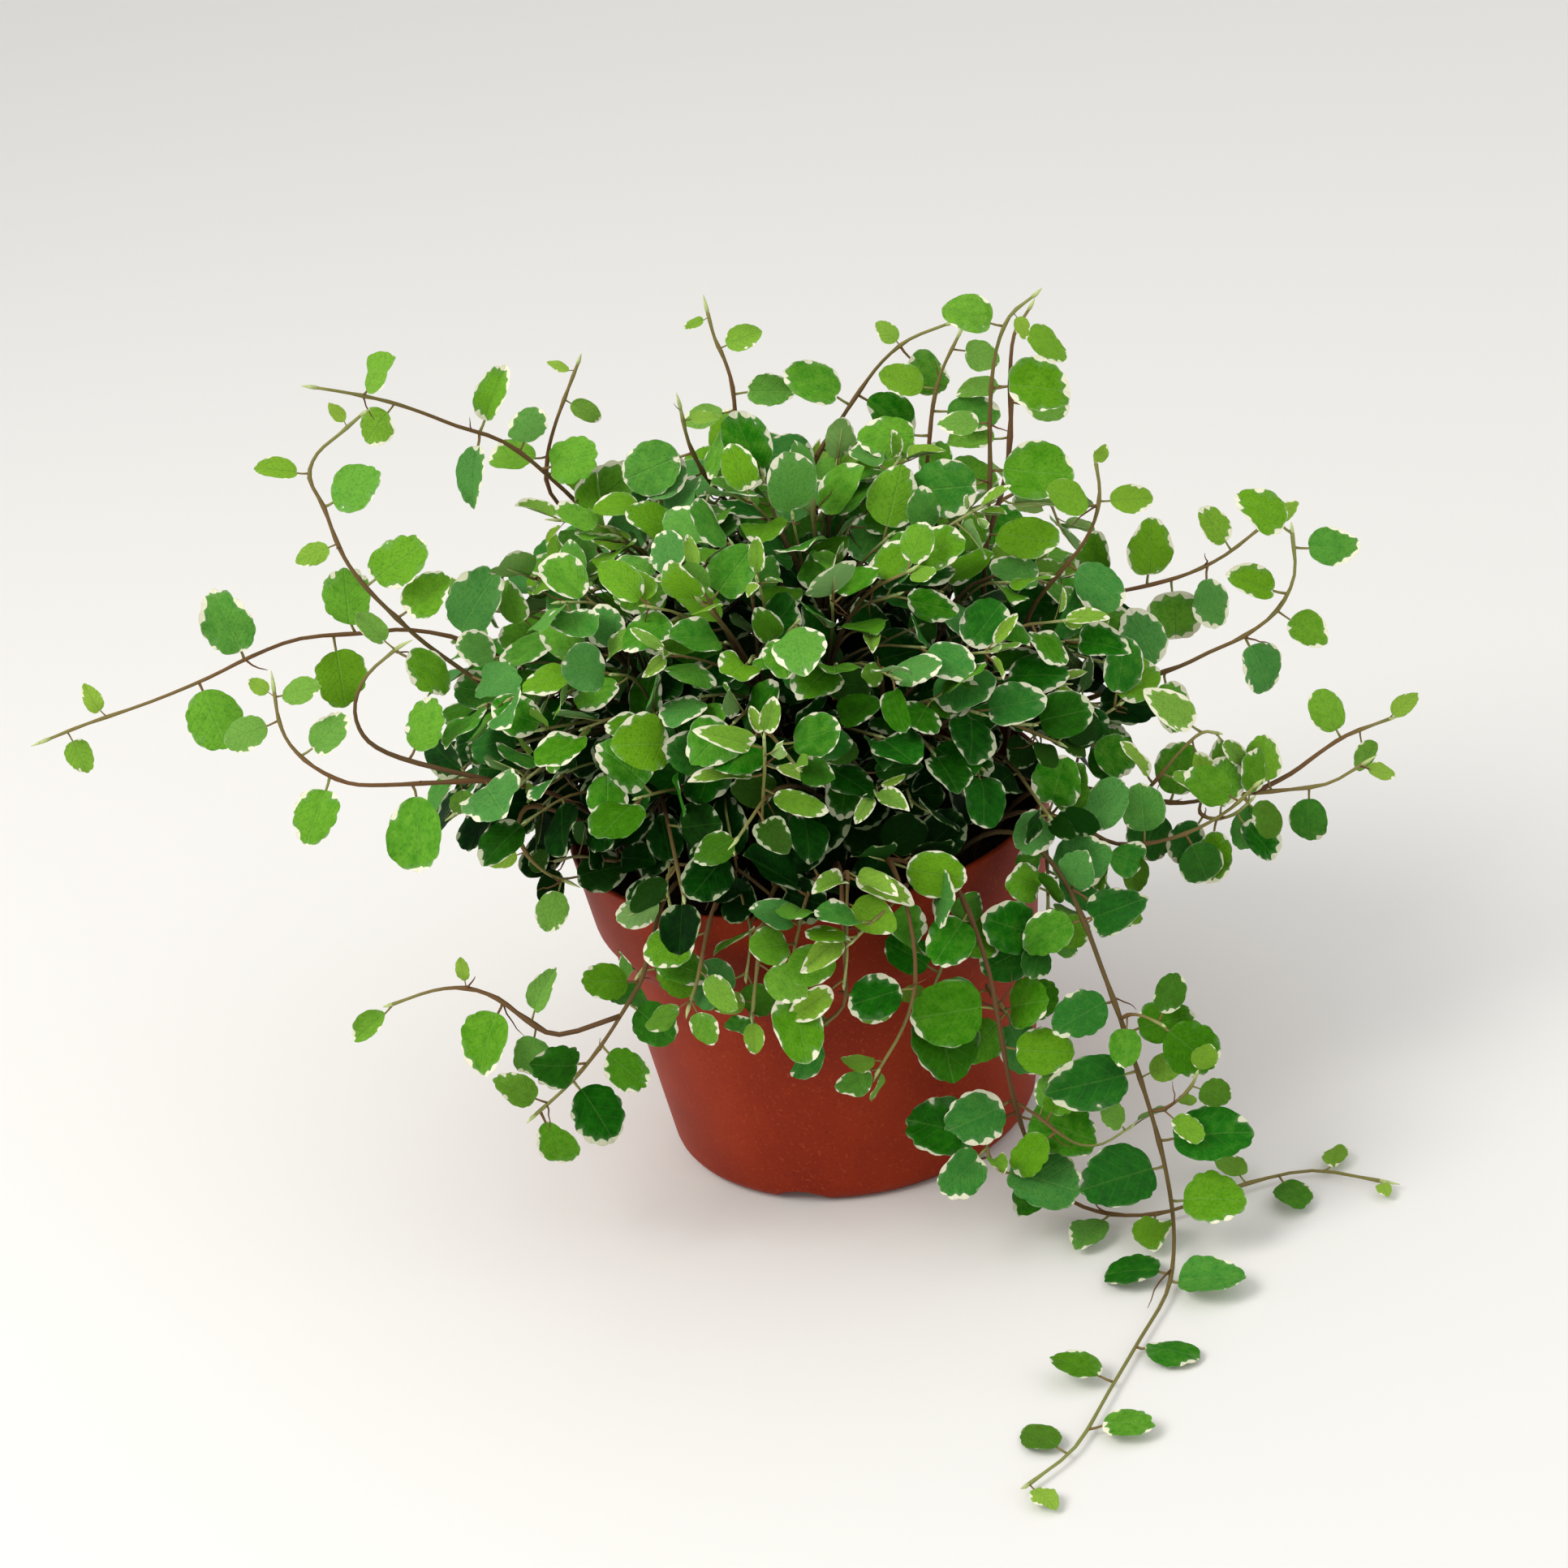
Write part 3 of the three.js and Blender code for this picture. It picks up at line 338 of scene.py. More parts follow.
         (48, -82, 4, 11), (64, -84, 4, 12), (87, -66, 4, 9), (98, -76, 4, 11), (111, -66, 3, 9),
         (119, -84, 3, 5), (42, -72, 50, 14), (26, -69, 84, 14)],
    )],
}

# Short stems that hang over the front and back of the rim, each with its place in the soil and
# its path. Their leaves are placed by rule.
HANGING = {
    "hanging_front_1": (
        (-17, -43),
        [(-22, -53, 95), (-27, -62, 92), (-31, -66, 82), (-35, -66, 73)],
    ),
    "hanging_front_2": (
        (-8, -45),
        [(-10, -56, 96), (-14, -66, 93), (-18, -70, 82), (-21, -68, 69)],
    ),
    "hanging_front_3": (
        (1, -43),
        [(4, -55, 98), (4, -66, 96), (2, -72, 85), (1, -70, 70), (-7, -69, 63)],
    ),
    "hanging_front_4": (
        (10, -44),
        [(13, -56, 100), (17, -67, 97), (18, -74, 80), (14, -74, 65), (6, -71, 51)],
    ),
    "hanging_back_left": (
        (-30, 40),
        [(-38, 50, 104), (-48, 64, 114), (-58, 80, 112), (-66, 94, 104), (-80, 104, 102)],
    ),
    "hanging_back": (
        (4, 46),
        [(4, 56, 100), (3, 68, 97), (6, 75, 82), (10, 75, 62), (4, 73, 44)],
    ),
    "hanging_back_right": (
        (34, 36),
        [(42, 48, 110), (54, 62, 126), (66, 76, 130), (76, 90, 122), (80, 102, 110)],
    ),
}
HANGING_LEAF = 13
HANGING_GAP = 10.5
HANGING_FIRST_LEAF = 22

# Short side shoots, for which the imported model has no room, each with its plant, the colour of its
# growth, its path and its leaves. Each starts at the nearest place on its plant's own stems.
SPRAYS = [
    (
        "runner_left_rim", "green",
        [(-47, -39, 99), (-54, -35, 100), (-62, -25, 95)],
        [(-60, -27, 100, 11), (-55, -31, 105, 10), (-50, -42, 104, 12), (-67, -21, 94, 7),
         (-64, -27, 91, 9), (-44, -44, 102, 12)],
    ),
    (
        "hanging_front_1", "green",
        [(-32, -52, 103), (-36, -56, 98), (-34, -59, 91), (-32, -59, 82)],
        [(-39, -41, 107, 16), (-36, -51, 105, 14), (-28, -55, 103, 15), (-39, -50, 100, 11),
         (-46, -50, 96, 11), (-31, -63, 93, 17), (-33, -61, 83, 11), (-40, -55, 96, 12),
         (-25, -61, 99, 13)],
    ),
    (
        "runner_lower_left", "green",
        [(-41, -52, 81), (-46, -51, 75)],
        [(-45, -51, 76, 12), (-40, -56, 80, 11), (-49, -47, 68, 12), (-57, -37, 55, 12)],
    ),
    (
        "hanging_front_2", "green",
        [(-20, -58, 102), (-18, -65, 94), (-19, -65, 85), (-21, -64, 77)],
        [(-18, -55, 108, 14), (-16, -64, 100, 13), (-18, -68, 88, 14), (-22, -67, 79, 12),
         (-33, -59, 71, 14), (-18, -64, 68, 9), (-24, -65, 91, 12), (-25, -64, 83, 10)],
    ),
    (
        "hanging_front_3", "green",
        [(-2, -64, 99), (-6, -68, 92), (-9, -68, 84), (-11, -67, 76)],
        [(-10, -65, 102, 15), (-6, -69, 95, 12), (-9, -69, 86, 13), (-11, -69, 72, 17),
         (-2, -60, 102, 14), (-11, -69, 93, 11)],
    ),
    (
        "hanging_front_4", "green",
        [(21, -58, 95), (17, -67, 93), (11, -72, 91), (4, -73, 86), (1, -71, 79)],
        [(3, -71, 103, 14), (13, -65, 103, 14), (12, -72, 101, 13), (23, -58, 102, 13),
         (26, -60, 98, 15), (17, -65, 94, 13), (1, -76, 93, 13), (7, -72, 89, 14),
         (13, -72, 88, 17), (3, -71, 77, 17), (-1, -72, 77, 15), (10, -69, 78, 13),
         (20, -67, 101, 12)],
    ),
    (
        "hanging_front_4", "green",
        [(23, -59, 91), (26, -63, 82), (25, -63, 73), (21, -62, 64)],
        [(26, -66, 90, 16), (16, -68, 72, 15), (9, -66, 67, 6), (22, -66, 60, 18),
         (31, -61, 75, 11), (35, -57, 83, 9)],
    ),
    (
        "runner_lower_right", "green",
        [(54, -37, 84), (52, -50, 82), (51, -54, 76), (48, -57, 69)],
        [(50, -43, 90, 14), (45, -55, 90, 13), (43, -59, 85, 12), (55, -52, 83, 14),
         (61, -46, 77, 14), (62, -47, 71, 7), (54, -53, 72, 9), (52, -55, 67, 9),
         (43, -59, 74, 15), (48, -58, 71, 11), (39, -59, 67, 13), (45, -40, 92, 13)],
    ),
    (
        "runner_floor_right", "green",
        [(34, -59, 62), (37, -61, 56), (39, -59, 50)],
        [(39, -63, 57, 14), (32, -68, 52, 12), (25, -70, 48, 16), (30, -64, 62, 13),
         (47, -54, 53, 11)],
    ),
    (
        "runner_floor_right", "green",
        [(30, -72, 31), (28, -74, 26), (30, -75, 21)],
        [(15, -74, 37, 17), (24, -78, 28, 16), (29, -80, 26, 8), (37, -78, 19, 17),
         (21, -72, 41, 12), (18, -72, 31, 11)],
    ),
    (
        "runner_floor_right", "green",
        [(42, -78, 34), (47, -80, 29), (53, -81, 27), (61, -82, 31)],
        [(41, -80, 30, 12), (57, -84, 38, 8), (65, -82, 32, 11), (52, -76, 53, 9),
         (45, -80, 39, 12)],
    ),
    (
        "runner_trailing", "green",
        [(66, -79, 59), (71, -82, 57)],
        [(63, -82, 51, 9), (73, -80, 61, 9), (75, -84, 52, 13), (71, -80, 54, 11)],
    ),
    (
        "runner_trailing", "green",
        [(70, -84, 36), (75, -86, 41), (77, -88, 46)],
        [(79, -88, 49, 9), (75, -86, 41, 6), (73, -88, 23, 9), (82, -86, 38, 8)],
    ),
    (
        "runner_low_right", "green",
        [(55, -44, 96), (60, -47, 92), (66, -48, 86)],
        [(56, -46, 105, 15), (65, -46, 93, 13), (49, -50, 94, 13), (70, -46, 83, 11),
         (61, -50, 86, 12), (46, -54, 88, 14), (54, -54, 82, 12)],
    ),
    (
        "runner_lower_right", "green",
        [(64, -30, 100), (68, -28, 108), (76, -26, 112)],
        [(61, -31, 115, 14), (76, -25, 116, 13), (69, -29, 104, 12), (84, -22, 120, 13)],
    ),
    (
        "runner_lower_right", "pale",
        [(80, -34, 93), (86, -34, 99), (93, -32, 104), (98, -31, 103)],
        [(76, -39, 98, 13), (86, -36, 94, 14), (91, -31, 108, 13), (100, -31, 100, 9),
         (95, -35, 96, 10)],
    ),
    (
        "runner_lower_right", "green",
        [(92, -33, 83), (98, -34, 82), (104, -33, 85)],
        [(96, -35, 87, 12), (102, -35, 80, 11), (94, -36, 78, 12), (87, -36, 76, 12),
         (107, -31, 90, 11)],
    ),
    (
        "runner_trailing", "green",
        [(57, -58, 82), (61, -58, 78), (62, -58, 74)],
        [(60, -54, 80, 11), (63, -58, 75, 8), (51, -62, 72, 9), (57, -60, 86, 12)],
    ),
    (
        "hanging_front_2", "pale",
        [(-12, -58, 106), (-11, -59, 116), (-9, -60, 126), (-8, -61, 134)],
        [(-19, -62, 126, 13), (-21, -61, 133, 14), (-17, -63, 116, 13), (-3, -62, 127, 11),
         (2, -62, 128, 12), (-7, -62, 138, 8), (-11, -61, 140, 7), (-4, -62, 119, 12)],
    ),
    (
        "hanging_front_3", "pale",
        [(6, -66, 100), (4, -69, 92), (3, -72, 84), (1, -73, 76)],
        [(4, -70, 101, 13), (14, -70, 99, 13), (1, -72, 89, 13), (9, -72, 92, 12),
         (4, -74, 76, 14), (-2, -73, 75, 12), (-13, -72, 73, 14), (26, -70, 88, 14),
         (25, -66, 104, 14), (18, -70, 93, 11)],
    ),
]
SPRAY_TILT = 0.3
SPRAY_HOST_START = 12
SPRAY_HOST_STEP = 1.5
TIP_LEAVES = [12, 9]
TIP_SIZES = (0.75, 1)

# Thin pale roots that lie on the compost and over the rim at the front
SURFACE_ROOTS = [
    [(-27, -50, 81), (-24, -54, 88), (-20, -57.5, 90.5), (-13, -59.5, 90), (-6, -60.5, 89.5)],
    [(-4, -46, 81), (-8, -52, 86), (-13, -57, 90.5), (-17, -60.5, 90), (-19, -62, 86)],
    [(4, -48, 81), (-1, -54, 87), (-6, -58.5, 90.5), (-12, -61.2, 88), (-15, -61.5, 82)],
    [(-20, -48, 81), (-18, -54, 88), (-15, -58, 91), (-9, -60, 90), (-3, -58, 89.5)],
]

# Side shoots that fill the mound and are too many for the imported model. They end on two domes
# inside one another. Each dome has its number of shoots, the depths of their tips as shares of the
# outer dome, the length of their leaves, and the share of them that end in a sprig of pale leaves.
FILL_SEED = 90210
FILL_SHELLS = [
    {"shoots": 240, "depths": (0.86, 1.08), "leaf": 15, "sprigs": 0.16},
    {"shoots": 100, "depths": (0.58, 0.8), "leaf": 15.5, "sprigs": 0},
]
SPRIG_RISE = 0.07
SPRIG_LEAVES = [9.5, 8.5, 8, 6.5]
FILL_CENTRE = np.array([-4.0, 0.0, 104.0])
FILL_RADII = np.array([76.0, 62.0, 65.0])
FILL_OUTWARD = 0.8
FILL_UPWARD = 0.1
FILL_FACING = 0.5
FILL_LOWEST_RANK = 1.15
FRONT_DEPTH = -12
FRONT_LOWEST = 108
FILL_START = 0.5
FILL_ARCH = 5
FILL_FIRST_LEAF = 4
FILL_GAP = 8
FILL_TIP_SHARE = 0.82
FILL_BEND = 3
FILL_POT_CLEARANCE = 1.5
FILL_ROOM = (0.3, 0.8)
HOST_START = 6
HOST_STEP = 3
HOST_LOWEST = SOIL_TOP + ROOT_RISE + 6
HOST_REACH = 0.95

# How much cream each stem's leaves have, where it isn't the mound's own level
CREAM = {
    "runner_far_left": 0.25,
    "runner_upper_left": 0.2,
    "runner_left_curve": 0.2,
    "runner_left_curl": 0.35,
    "runner_left_rim": 0.45,
    "runner_lower_left": 0.12,
    "sprig_top_left": 0.25,
    "sprig_top_middle": 0.4,
    "sprig_top_right": 0.5,
    "sprig_tall": 0.45,
    "sprig_upright": 0.5,
    "runner_right": 0.68,
    "runner_right_back": 0.68,
    "runner_trailing": 0.22,
    "runner_floor_right": 0.3,
}
MOUND_CREAM = 0.41

# The stems that hang to the floor, and the one that the surface roots belong to
TRAILING = {"runner_trailing", "runner_floor_right"}
ROOTED = "hanging_front_2"

# The stems whose leaves stand clear of the mound and show small teeth
TOOTHED = {
    "runner_far_left", "runner_upper_left", "runner_left_curve", "runner_left_curl",
    "runner_lower_left", "runner_trailing", "runner_floor_right",
}

# Blades: each is drawn from one round disc, whose inner panels lie along the midrib and whose rim
# is cut fine enough for the lobes. Ranges are shares of the blade's length, and the depth is in
# millimetres.
MIDRIB_PANELS = 6
INNER_PANELS = 0.72
MARGIN_CUTS = 2
LOBES = 12
TEETH = (0.045, 0.09)
CREASES = (0.02, 0.055)
FOLDED_SHARE = 0.14
ROLL = 0.28
BLADE_DEPTH = 0.3
LEAF_LAYER = "blade"
TRAITS = "traits"
UPPER, UNDERSIDE, BARK = range(3)
LOOKS_SEED = 777
LOOKS_SEED_STEP = 1000

# Bark: knots at the leaves, buds, rootlets and leaf stalks, in millimetres and in shares of their
# length, and how far out in the mound the bark is painted dark as shade, and how fast that painted
# shade ends. A stalk runs on under its blade as the midrib, through places on the disc, each with
# its depth.
KNOT_REACH = 1.6
KNOT_SWELL = 0.45
BUD_LENGTH = 4.5
BUD_SHARES = (-0.1, 0.15, 0.4, 0.7, 1)
BUD_SWELL = [1, 1.4, 1.35, 0.8]
BUD_POINT = 0.08
ROOTLET_SHARE = 0.3
ROOTLET_LENGTH = (2.5, 6)
HOOKED_LENGTH = (6, 10)
ROOTLET_SHARES = (0, 0.25, 0.5, 0.7, 0.85, 1)
ROOTLET_RADII = [0.3, 0.26, 0.22, 0.18, 0.14, 0.06]
SURFACE_ROOT_RADIUS = 0.28
SURFACE_ROOT_END = 0.08
PAINTED_SHADE_REACH = 1.0
PAINTED_SHADE_FADE = 4
SHORT_STEM = 40
STALK_RADII = [0.42, 0.34, 0.3, 0.25, 0.2, 0.1]
STALK_LEAF = 13
STALK_DROP = 0.035
MIDRIB_LINE = [(-0.86, 0.35), (-0.5, 0.2), (-0.1, 0.16), (0.5, 0.05)]

# A leaf's painted light, from 0 in painted deep shade to 1 in painted sunlight. It rises with how
# far out in the mound the leaf lies and, from LIT_FROM up over LIT_OVER millimetres, with its
# height.
# Leaves in front of the pot have a painted light of their own. The upper left, towards the key
# light, is painted lighter than the rest, and the lower right is painted a little darker, as shade.
# A random spread of colour is added on top.
SHADE_DEPTH = 0.55
SHADE_FADE = 0.5
DOME_PAINTED_LIGHT = 0.8
LIT_FROM = 104
LIT_OVER = 50
UNLIT_TONE = 0.1
POT_PAINTED_LIGHT = 0.56
LEAST_POT_PAINTED_LIGHT = 0.33
TONE_SPREAD = (-0.25, 0.22)
CREAM_SPREAD = 0.3
MOUND_EDGE = 10
SUNNY_LEFT = -15
SUNNY_ABOVE = 120
SUNNY_TONE = 0.15
PAINTED_SHADE_RIGHT = 50
PAINTED_SHADE_BELOW = 150
PAINTED_SHADE_TONE = 0.05
YOUNG_OVER = 6

# The stage, in metres: a round floor, round lights by name with their size, place and colour, and
# the camera, whose lens is in millimetres and whose angles are in degrees
FLOOR_RADIUS = 4
FLOOR_SIDES = 96
LIGHTS = {
    "key": (0.8, (-0.85, -0.45, 1.15), (1, 0.98, 0.95)),
    "fill": (1.2, (1.1, -0.7, 0.6), (0.95, 0.98, 1)),
    "ceiling": (6, (0, 0, 2.6), (1, 1, 1)),
}
CAMERA_TARGET = Vector((-0.0052, 0, 0.0935))
CAMERA_DISTANCE = 0.8
CAMERA_ELEVATION = 25.4
CAMERA_ROLL = 9.3
CAMERA_LENS = 74.53
SENSOR_WIDTH = 36


class Dice:
    """Seeded draws, the same on every run"""

    def __init__(self, seed):
        self.state = seed

    def draw(self, low, high):
        self.state = (self.state * 1664525 + 1013904223) % 4294967296
        return low + ((high - low) * self.state) / 4294967296

    def vector(self, size):
        return np.array([self.draw(-size, size) for _ in range(3)])


def length(v):
    return math.sqrt(v[0] * v[0] + v[1] * v[1] + v[2] * v[2])


def unit(v):
    return v * (1 / length(v))


def dot(a, b):
    return a[0] * b[0] + a[1] * b[1] + a[2] * b[2]


def distances(points, point):
    step = points - point
    return np.sqrt((step * step).sum(axis=-1))


def nearest(points, point):
    """The number of the one of the points that is nearest to a point"""
    return int(np.argmin(distances(np.array(points), point)))


def as_points(path):
    return [np.array(point, float) for point in path]


def clamp(value):
    return min(1, max(0, value))


def curve_point(points, t):
    """A place at t, from 0 to 1, on the smooth curve through points"""
    last = len(points) - 1
    p = last * t
    i = math.floor(p)
    w = p - i
    if w == 0 and i == last:
        i = last - 1
        w = 1
    p1 = points[i]
    p2 = points[i + 1]
    p0 = points[i - 1] if i > 0 else (points[0] - points[1]) + points[0]
    p3 = points[i + 2] if i + 2 <= last else (points[last] - points[last - 1]) + points[last]
    t0 = 0.5 * (p2 - p0)
    t1 = 0.5 * (p3 - p1)
    c2 = -3 * p1 + 3 * p2 - 2 * t0 - t1
    c3 = 2 * p1 - 2 * p2 + t0 + t1
    return p1 + t0 * w + c2 * (w * w) + c3 * (w * w * w)


def chain(points):
    """A stem's middle line as a chain of straight pieces"""
    steps = math.floor((len(points) - 1) * RINGS_PER_SPAN + 0.5)
    return [curve_point(points, k / steps) for k in range(steps + 1)]


class Stem:
    """A chain of points with the lengths of its pieces, in millimetres"""

    def __init__(self, points):
        self.points = points
        self.pieces = [length(b - a) for a, b in zip(points, points[1:])]
        self.total = 0.0
        for piece in self.pieces:
            self.total += piece

    def place(self, distance):
        """The place at a distance from the start, and the stem's direction there"""
        left = distance
        last = len(self.pieces) - 1
        for i, piece in enumerate(self.pieces):
            if left <= piece or i == last:
                step = self.points[i + 1] - self.points[i]
                return self.points[i] + step * min(left / piece, 1), step * (1 / piece)
            left -= piece
        return None

    def at_share(self, share):
        return self.place(self.total * share)[0]

    def samples(self):
        count = math.ceil(self.total / SAMPLE_STEP)
        shares = [k / count for k in range(count + 1)]
        points = np.array([self.at_share(share) for share in shares])
        radii = np.array([STEM_RADIUS + (TIP_RADIUS - STEM_RADIUS) * share for share in shares])
        return points, radii


def half_width(share):
    out = (share - 0.5) / OVAL_LENGTH
    return OVAL_WIDTH * np.sqrt(np.maximum(0, 1 - out * out))


SAMPLE_SHARES = np.repeat(np.array(BLADE_ROWS), len(BLADE_COLUMNS))
SAMPLE_ACROSS = half_width(SAMPLE_SHARES) * np.tile(np.array(BLADE_COLUMNS, float), len(BLADE_ROWS))
SAMPLE_RADII = np.array([0.0] * len(SAMPLE_SHARES) + [STALK_RADIUS] * 2)


class Leaf:
    """A leaf's foot on its stem, and its blade's own directions at its heel"""

    def __init__(self, foot, axis, face, long, petiole, owner):
        self.foot = foot
        self.forward = unit(axis)
        self.normal = unit(face + self.forward * -dot(face, self.forward))
        self.side = np.cross(self.normal, self.forward)
        self.heel = foot + self.forward * petiole
        self.long = long
        self.owner = owner
        self.wave = 0.0
        self.stem = None
        self.pale = False

    def coloured(self, pale):
        self.pale = pale
        return self

    def points(self, share, across, lift):
        """Places on the blade at shares of its length along it and across it"""
        drop = -BLADE_DROOP * self.long * share * share
        along = np.multiply.outer(self.long * share, self.forward)
        sideways = np.multiply.outer(self.long * across, self.side)
        return self.heel + along + sideways + np.multiply.outer(drop + lift, self.normal)

    def samples(self):
        """Places spread over the blade, then the stalk's middle and its end"""
        blade = self.points(SAMPLE_SHARES, SAMPLE_ACROSS, 0.0)
        stalk = [self.foot + (self.heel - self.foot) * share for share in (0.5, 1)]
        return np.vstack([blade, stalk])

    def near(self, points, radii, edge, face):
        """Where points lie in or close to the blade"""
        offset = points - self.heel
        share = (offset * self.forward).sum(axis=-1) / self.long
        margin = (edge + radii) / self.long
        out = (share - 0.5) / (OVAL_LENGTH + margin)
        across = (offset * self.side).sum(axis=-1) / self.long / (OVAL_WIDTH + margin)
        height = (offset * self.normal).sum(axis=-1) + BLADE_DROOP * self.long * share * share
        return (out * out + across * across <= 1) & (np.abs(height) < face + radii)


def clear_of_pot(points, distance):
    """Where points stay off the floor, the soil and the pot by the given distance"""
    z = points[..., 2]
    radius = np.hypot(points[..., 0], points[..., 1])
    outside = np.where(z > COLLAR_FOOT - COLLAR_STEP * 2, RIM_RADIUS, BODY_TOP_RADIUS + 1)
    inside = RIM_RADIUS - COLLAR_TAPER / 2 - WALL - distance
    beside = (z > RIM_HEIGHT + distance) | (radius > outside + distance)
    return (z >= distance) & (beside | ((z > SOIL_TOP + distance) & (radius < inside)))


class Crowd:
    """The stems, blades and stalks that a new stem or leaf has to pass clear of"""

    def __init__(self):
        self.blades = []
        self.heels = np.zeros((0, 3))
        self.longs = np.zeros(0)
        self.leaf_points = np.zeros((0, 3))
        self.leaf_radii = np.zeros(0)
        self.stem_points = np.zeros((0, 3))
        self.stem_radii = np.zeros(0)
        self.stem_owners = np.zeros(0, int)

    def add_stem(self, stem, owner):
        points, radii = stem.samples()
        self.stem_points = np.vstack([self.stem_points, points])
        self.stem_radii = np.concatenate([self.stem_radii, radii])
        self.stem_owners = np.concatenate([self.stem_owners, np.full(len(radii), owner)])

    def add_leaf(self, leaf):
        self.blades.append(leaf)
        self.heels = np.vstack([self.heels, leaf.heel])
        self.longs = np.append(self.longs, leaf.long)
        self.leaf_points = np.vstack([self.leaf_points, leaf.samples()])
        self.leaf_radii = np.concatenate([self.leaf_radii, SAMPLE_RADII])

    def stem_is_clear(self, stem, owner):
        points, radii = stem.samples()
        z = points[:, 2]
        rooted = (z < SOIL_TOP + ROOT_RISE) & (np.hypot(points[:, 0], points[:, 1]) < RIM_RADIUS)
        if not np.all(rooted | clear_of_pot(points, radii + SEAT_GAP)):
            return False
        others = self.stem_owners != owner
        gaps = distances(points[:, None, :], self.stem_points[None, others, :])
        reach = radii[:, None] + self.stem_radii[None, others] + STEM_CLEARANCE
        return not np.any(gaps < reach)

    def leaf_is_clear(self, leaf, edge, face):
        own = leaf.samples()
        middle = leaf.points(np.array([0.4]), np.array([0.0]), 0.0)[0]
        reach = leaf.long * NEAR_SHARE + NEAR_MARGIN
        if not np.all(clear_of_pot(own, POT_CLEARANCE)):
            return False
        close = distances(self.heels, middle) <= reach + self.longs + NEAR_MARGIN
        for k in np.flatnonzero(close):
            if np.any(self.blades[k].near(own, SAMPLE_RADII, edge, face)):
                return False
        close = distances(self.leaf_points, middle) <= reach
        if np.any(leaf.near(self.leaf_points[close], self.leaf_radii[close], edge, face)):
            return False
        stalk = own[-2]
        close = distances(self.stem_points, middle) <= reach + NEAR_MARGIN
        shared = self.stem_owners == leaf.owner
        close &= ~(shared & (distances(self.stem_points, leaf.foot) < OWN_STEM_REACH))
        if np.any(leaf.near(self.stem_points[close], self.stem_radii[close], edge, face)):
            return False
        return not np.any(distances(self.stem_points[close & ~shared], stalk) < PETIOLE_CLEARANCE)


def route_stem(crowd, dice, start, path, owner):
    """A stem's line through its points, bent a little more at each try until it passes clear"""
    stem = None
    for attempt in range(ROUTE_TRIES):
        free = [point + dice.vector(attempt * ROUTE_BEND) for point in as_points(path)]
        stem = Stem([*start[:-1], *chain([start[-1], *free])])
        if crowd.stem_is_clear(stem, owner):
            break
    crowd.add_stem(stem, owner)
    return stem


def root_points(root):
    """The two points in and just above the soil that a stem starts from"""
    return as_points([(*root, SOIL_TOP - ROOT_DEPTH), (*root, SOIL_TOP + ROOT_RISE)])


def grow_leaf(crowd, dice, stem, foot, axis, face, long, owner, room):
    """Puts a leaf on a stem, turned a little more and made a little smaller at each try until it
    passes clear of all that stands near, and returns it, or nothing where it never does"""
    for attempt in range(LEAF_TRIES):
        loose = LEAF_TURN + attempt * TURN_EACH_TRY
        aimed = unit(axis) + dice.vector(loose)
        tilted = unit(face) + dice.vector(loose * FACE_TURN)
        size = long * (1 - attempt * SHRINK_EACH_TRY)
        stalk = PETIOLE_LENGTH * dice.draw(1 - PETIOLE_SPREAD, 1 + PETIOLE_SPREAD)
        wave = dice.draw(-1, 1)
        leaf = Leaf(foot, aimed, tilted, size, stalk * min(1, long / FULL_PETIOLE_LEAF), owner)
        if crowd.leaf_is_clear(leaf, *room):
            leaf.wave = wave
            leaf.stem = stem
            crowd.add_leaf(leaf)
            return [leaf]
    return []


def grow_placed_leaf(crowd, dice, stem, placed, owner, room, facing):
    """A leaf whose blade centre is given: it stands on the nearest place of the stem"""
    centre = np.array(placed[:3], float)
    long = placed[3]
    steps = [stem.place(distance)[0] for distance in range(2, math.ceil(stem.total))]
    foot = steps[int(np.argmin([length(step - centre) for step in steps]))]
    face = UP if centre[2] < LYING_HEIGHT else facing
    return grow_leaf(crowd, dice, stem, foot, centre - foot, face, long, owner, room)


def packed_face(outward):
    return outward * FACE_OUTWARD + UP * FACE_UPWARD


def fill_face(outward):
    return outward * FILL_OUTWARD + UP * FILL_UPWARD + FACING * FILL_FACING


def grow_leaf_row(
    crowd, dice, stem, first, gap, long, owner, room=PACKED_ROOM, tip_share=TIP_LEAF_SHARE,
    facing=packed_face,
):
    """Leaves that stand left and right by turns along a stem, from a first distance to its tip"""
    grown = []
    side = -1 if dice.draw(0, 1) < 0.5 else 1
    distance = first
    while distance < stem.total:
        point, direction = stem.place(distance)
        face = facing(unit(point - MOUND_CENTRE))
        across = unit(np.cross(direction, face)) * side
        axis = across + direction * LEAN_ALONG + face * LEAN_OUTWARD
        ripeness = min(1, (stem.total - distance) / RIPE_DISTANCE)
        size = long * (tip_share + (1 - tip_share) * ripeness)
        size *= dice.draw(SMALLEST_SHARE, LARGEST_SHARE)
        grown += grow_leaf(crowd, dice, stem, point, axis, face, size, owner, room)
        side = -side
        distance += gap * dice.draw(1 - GAP_SPREAD, 1 + GAP_SPREAD)
    return grown


class Plant:
    """One rooted stem with its branches and leaves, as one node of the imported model"""

    def __init__(self, name, owner):
        self.name = name
        self.owner = owner
        self.stems = []
        self.leaves = []
        self.rows = []
        self.twigs = []
        self.twig_leaves = []


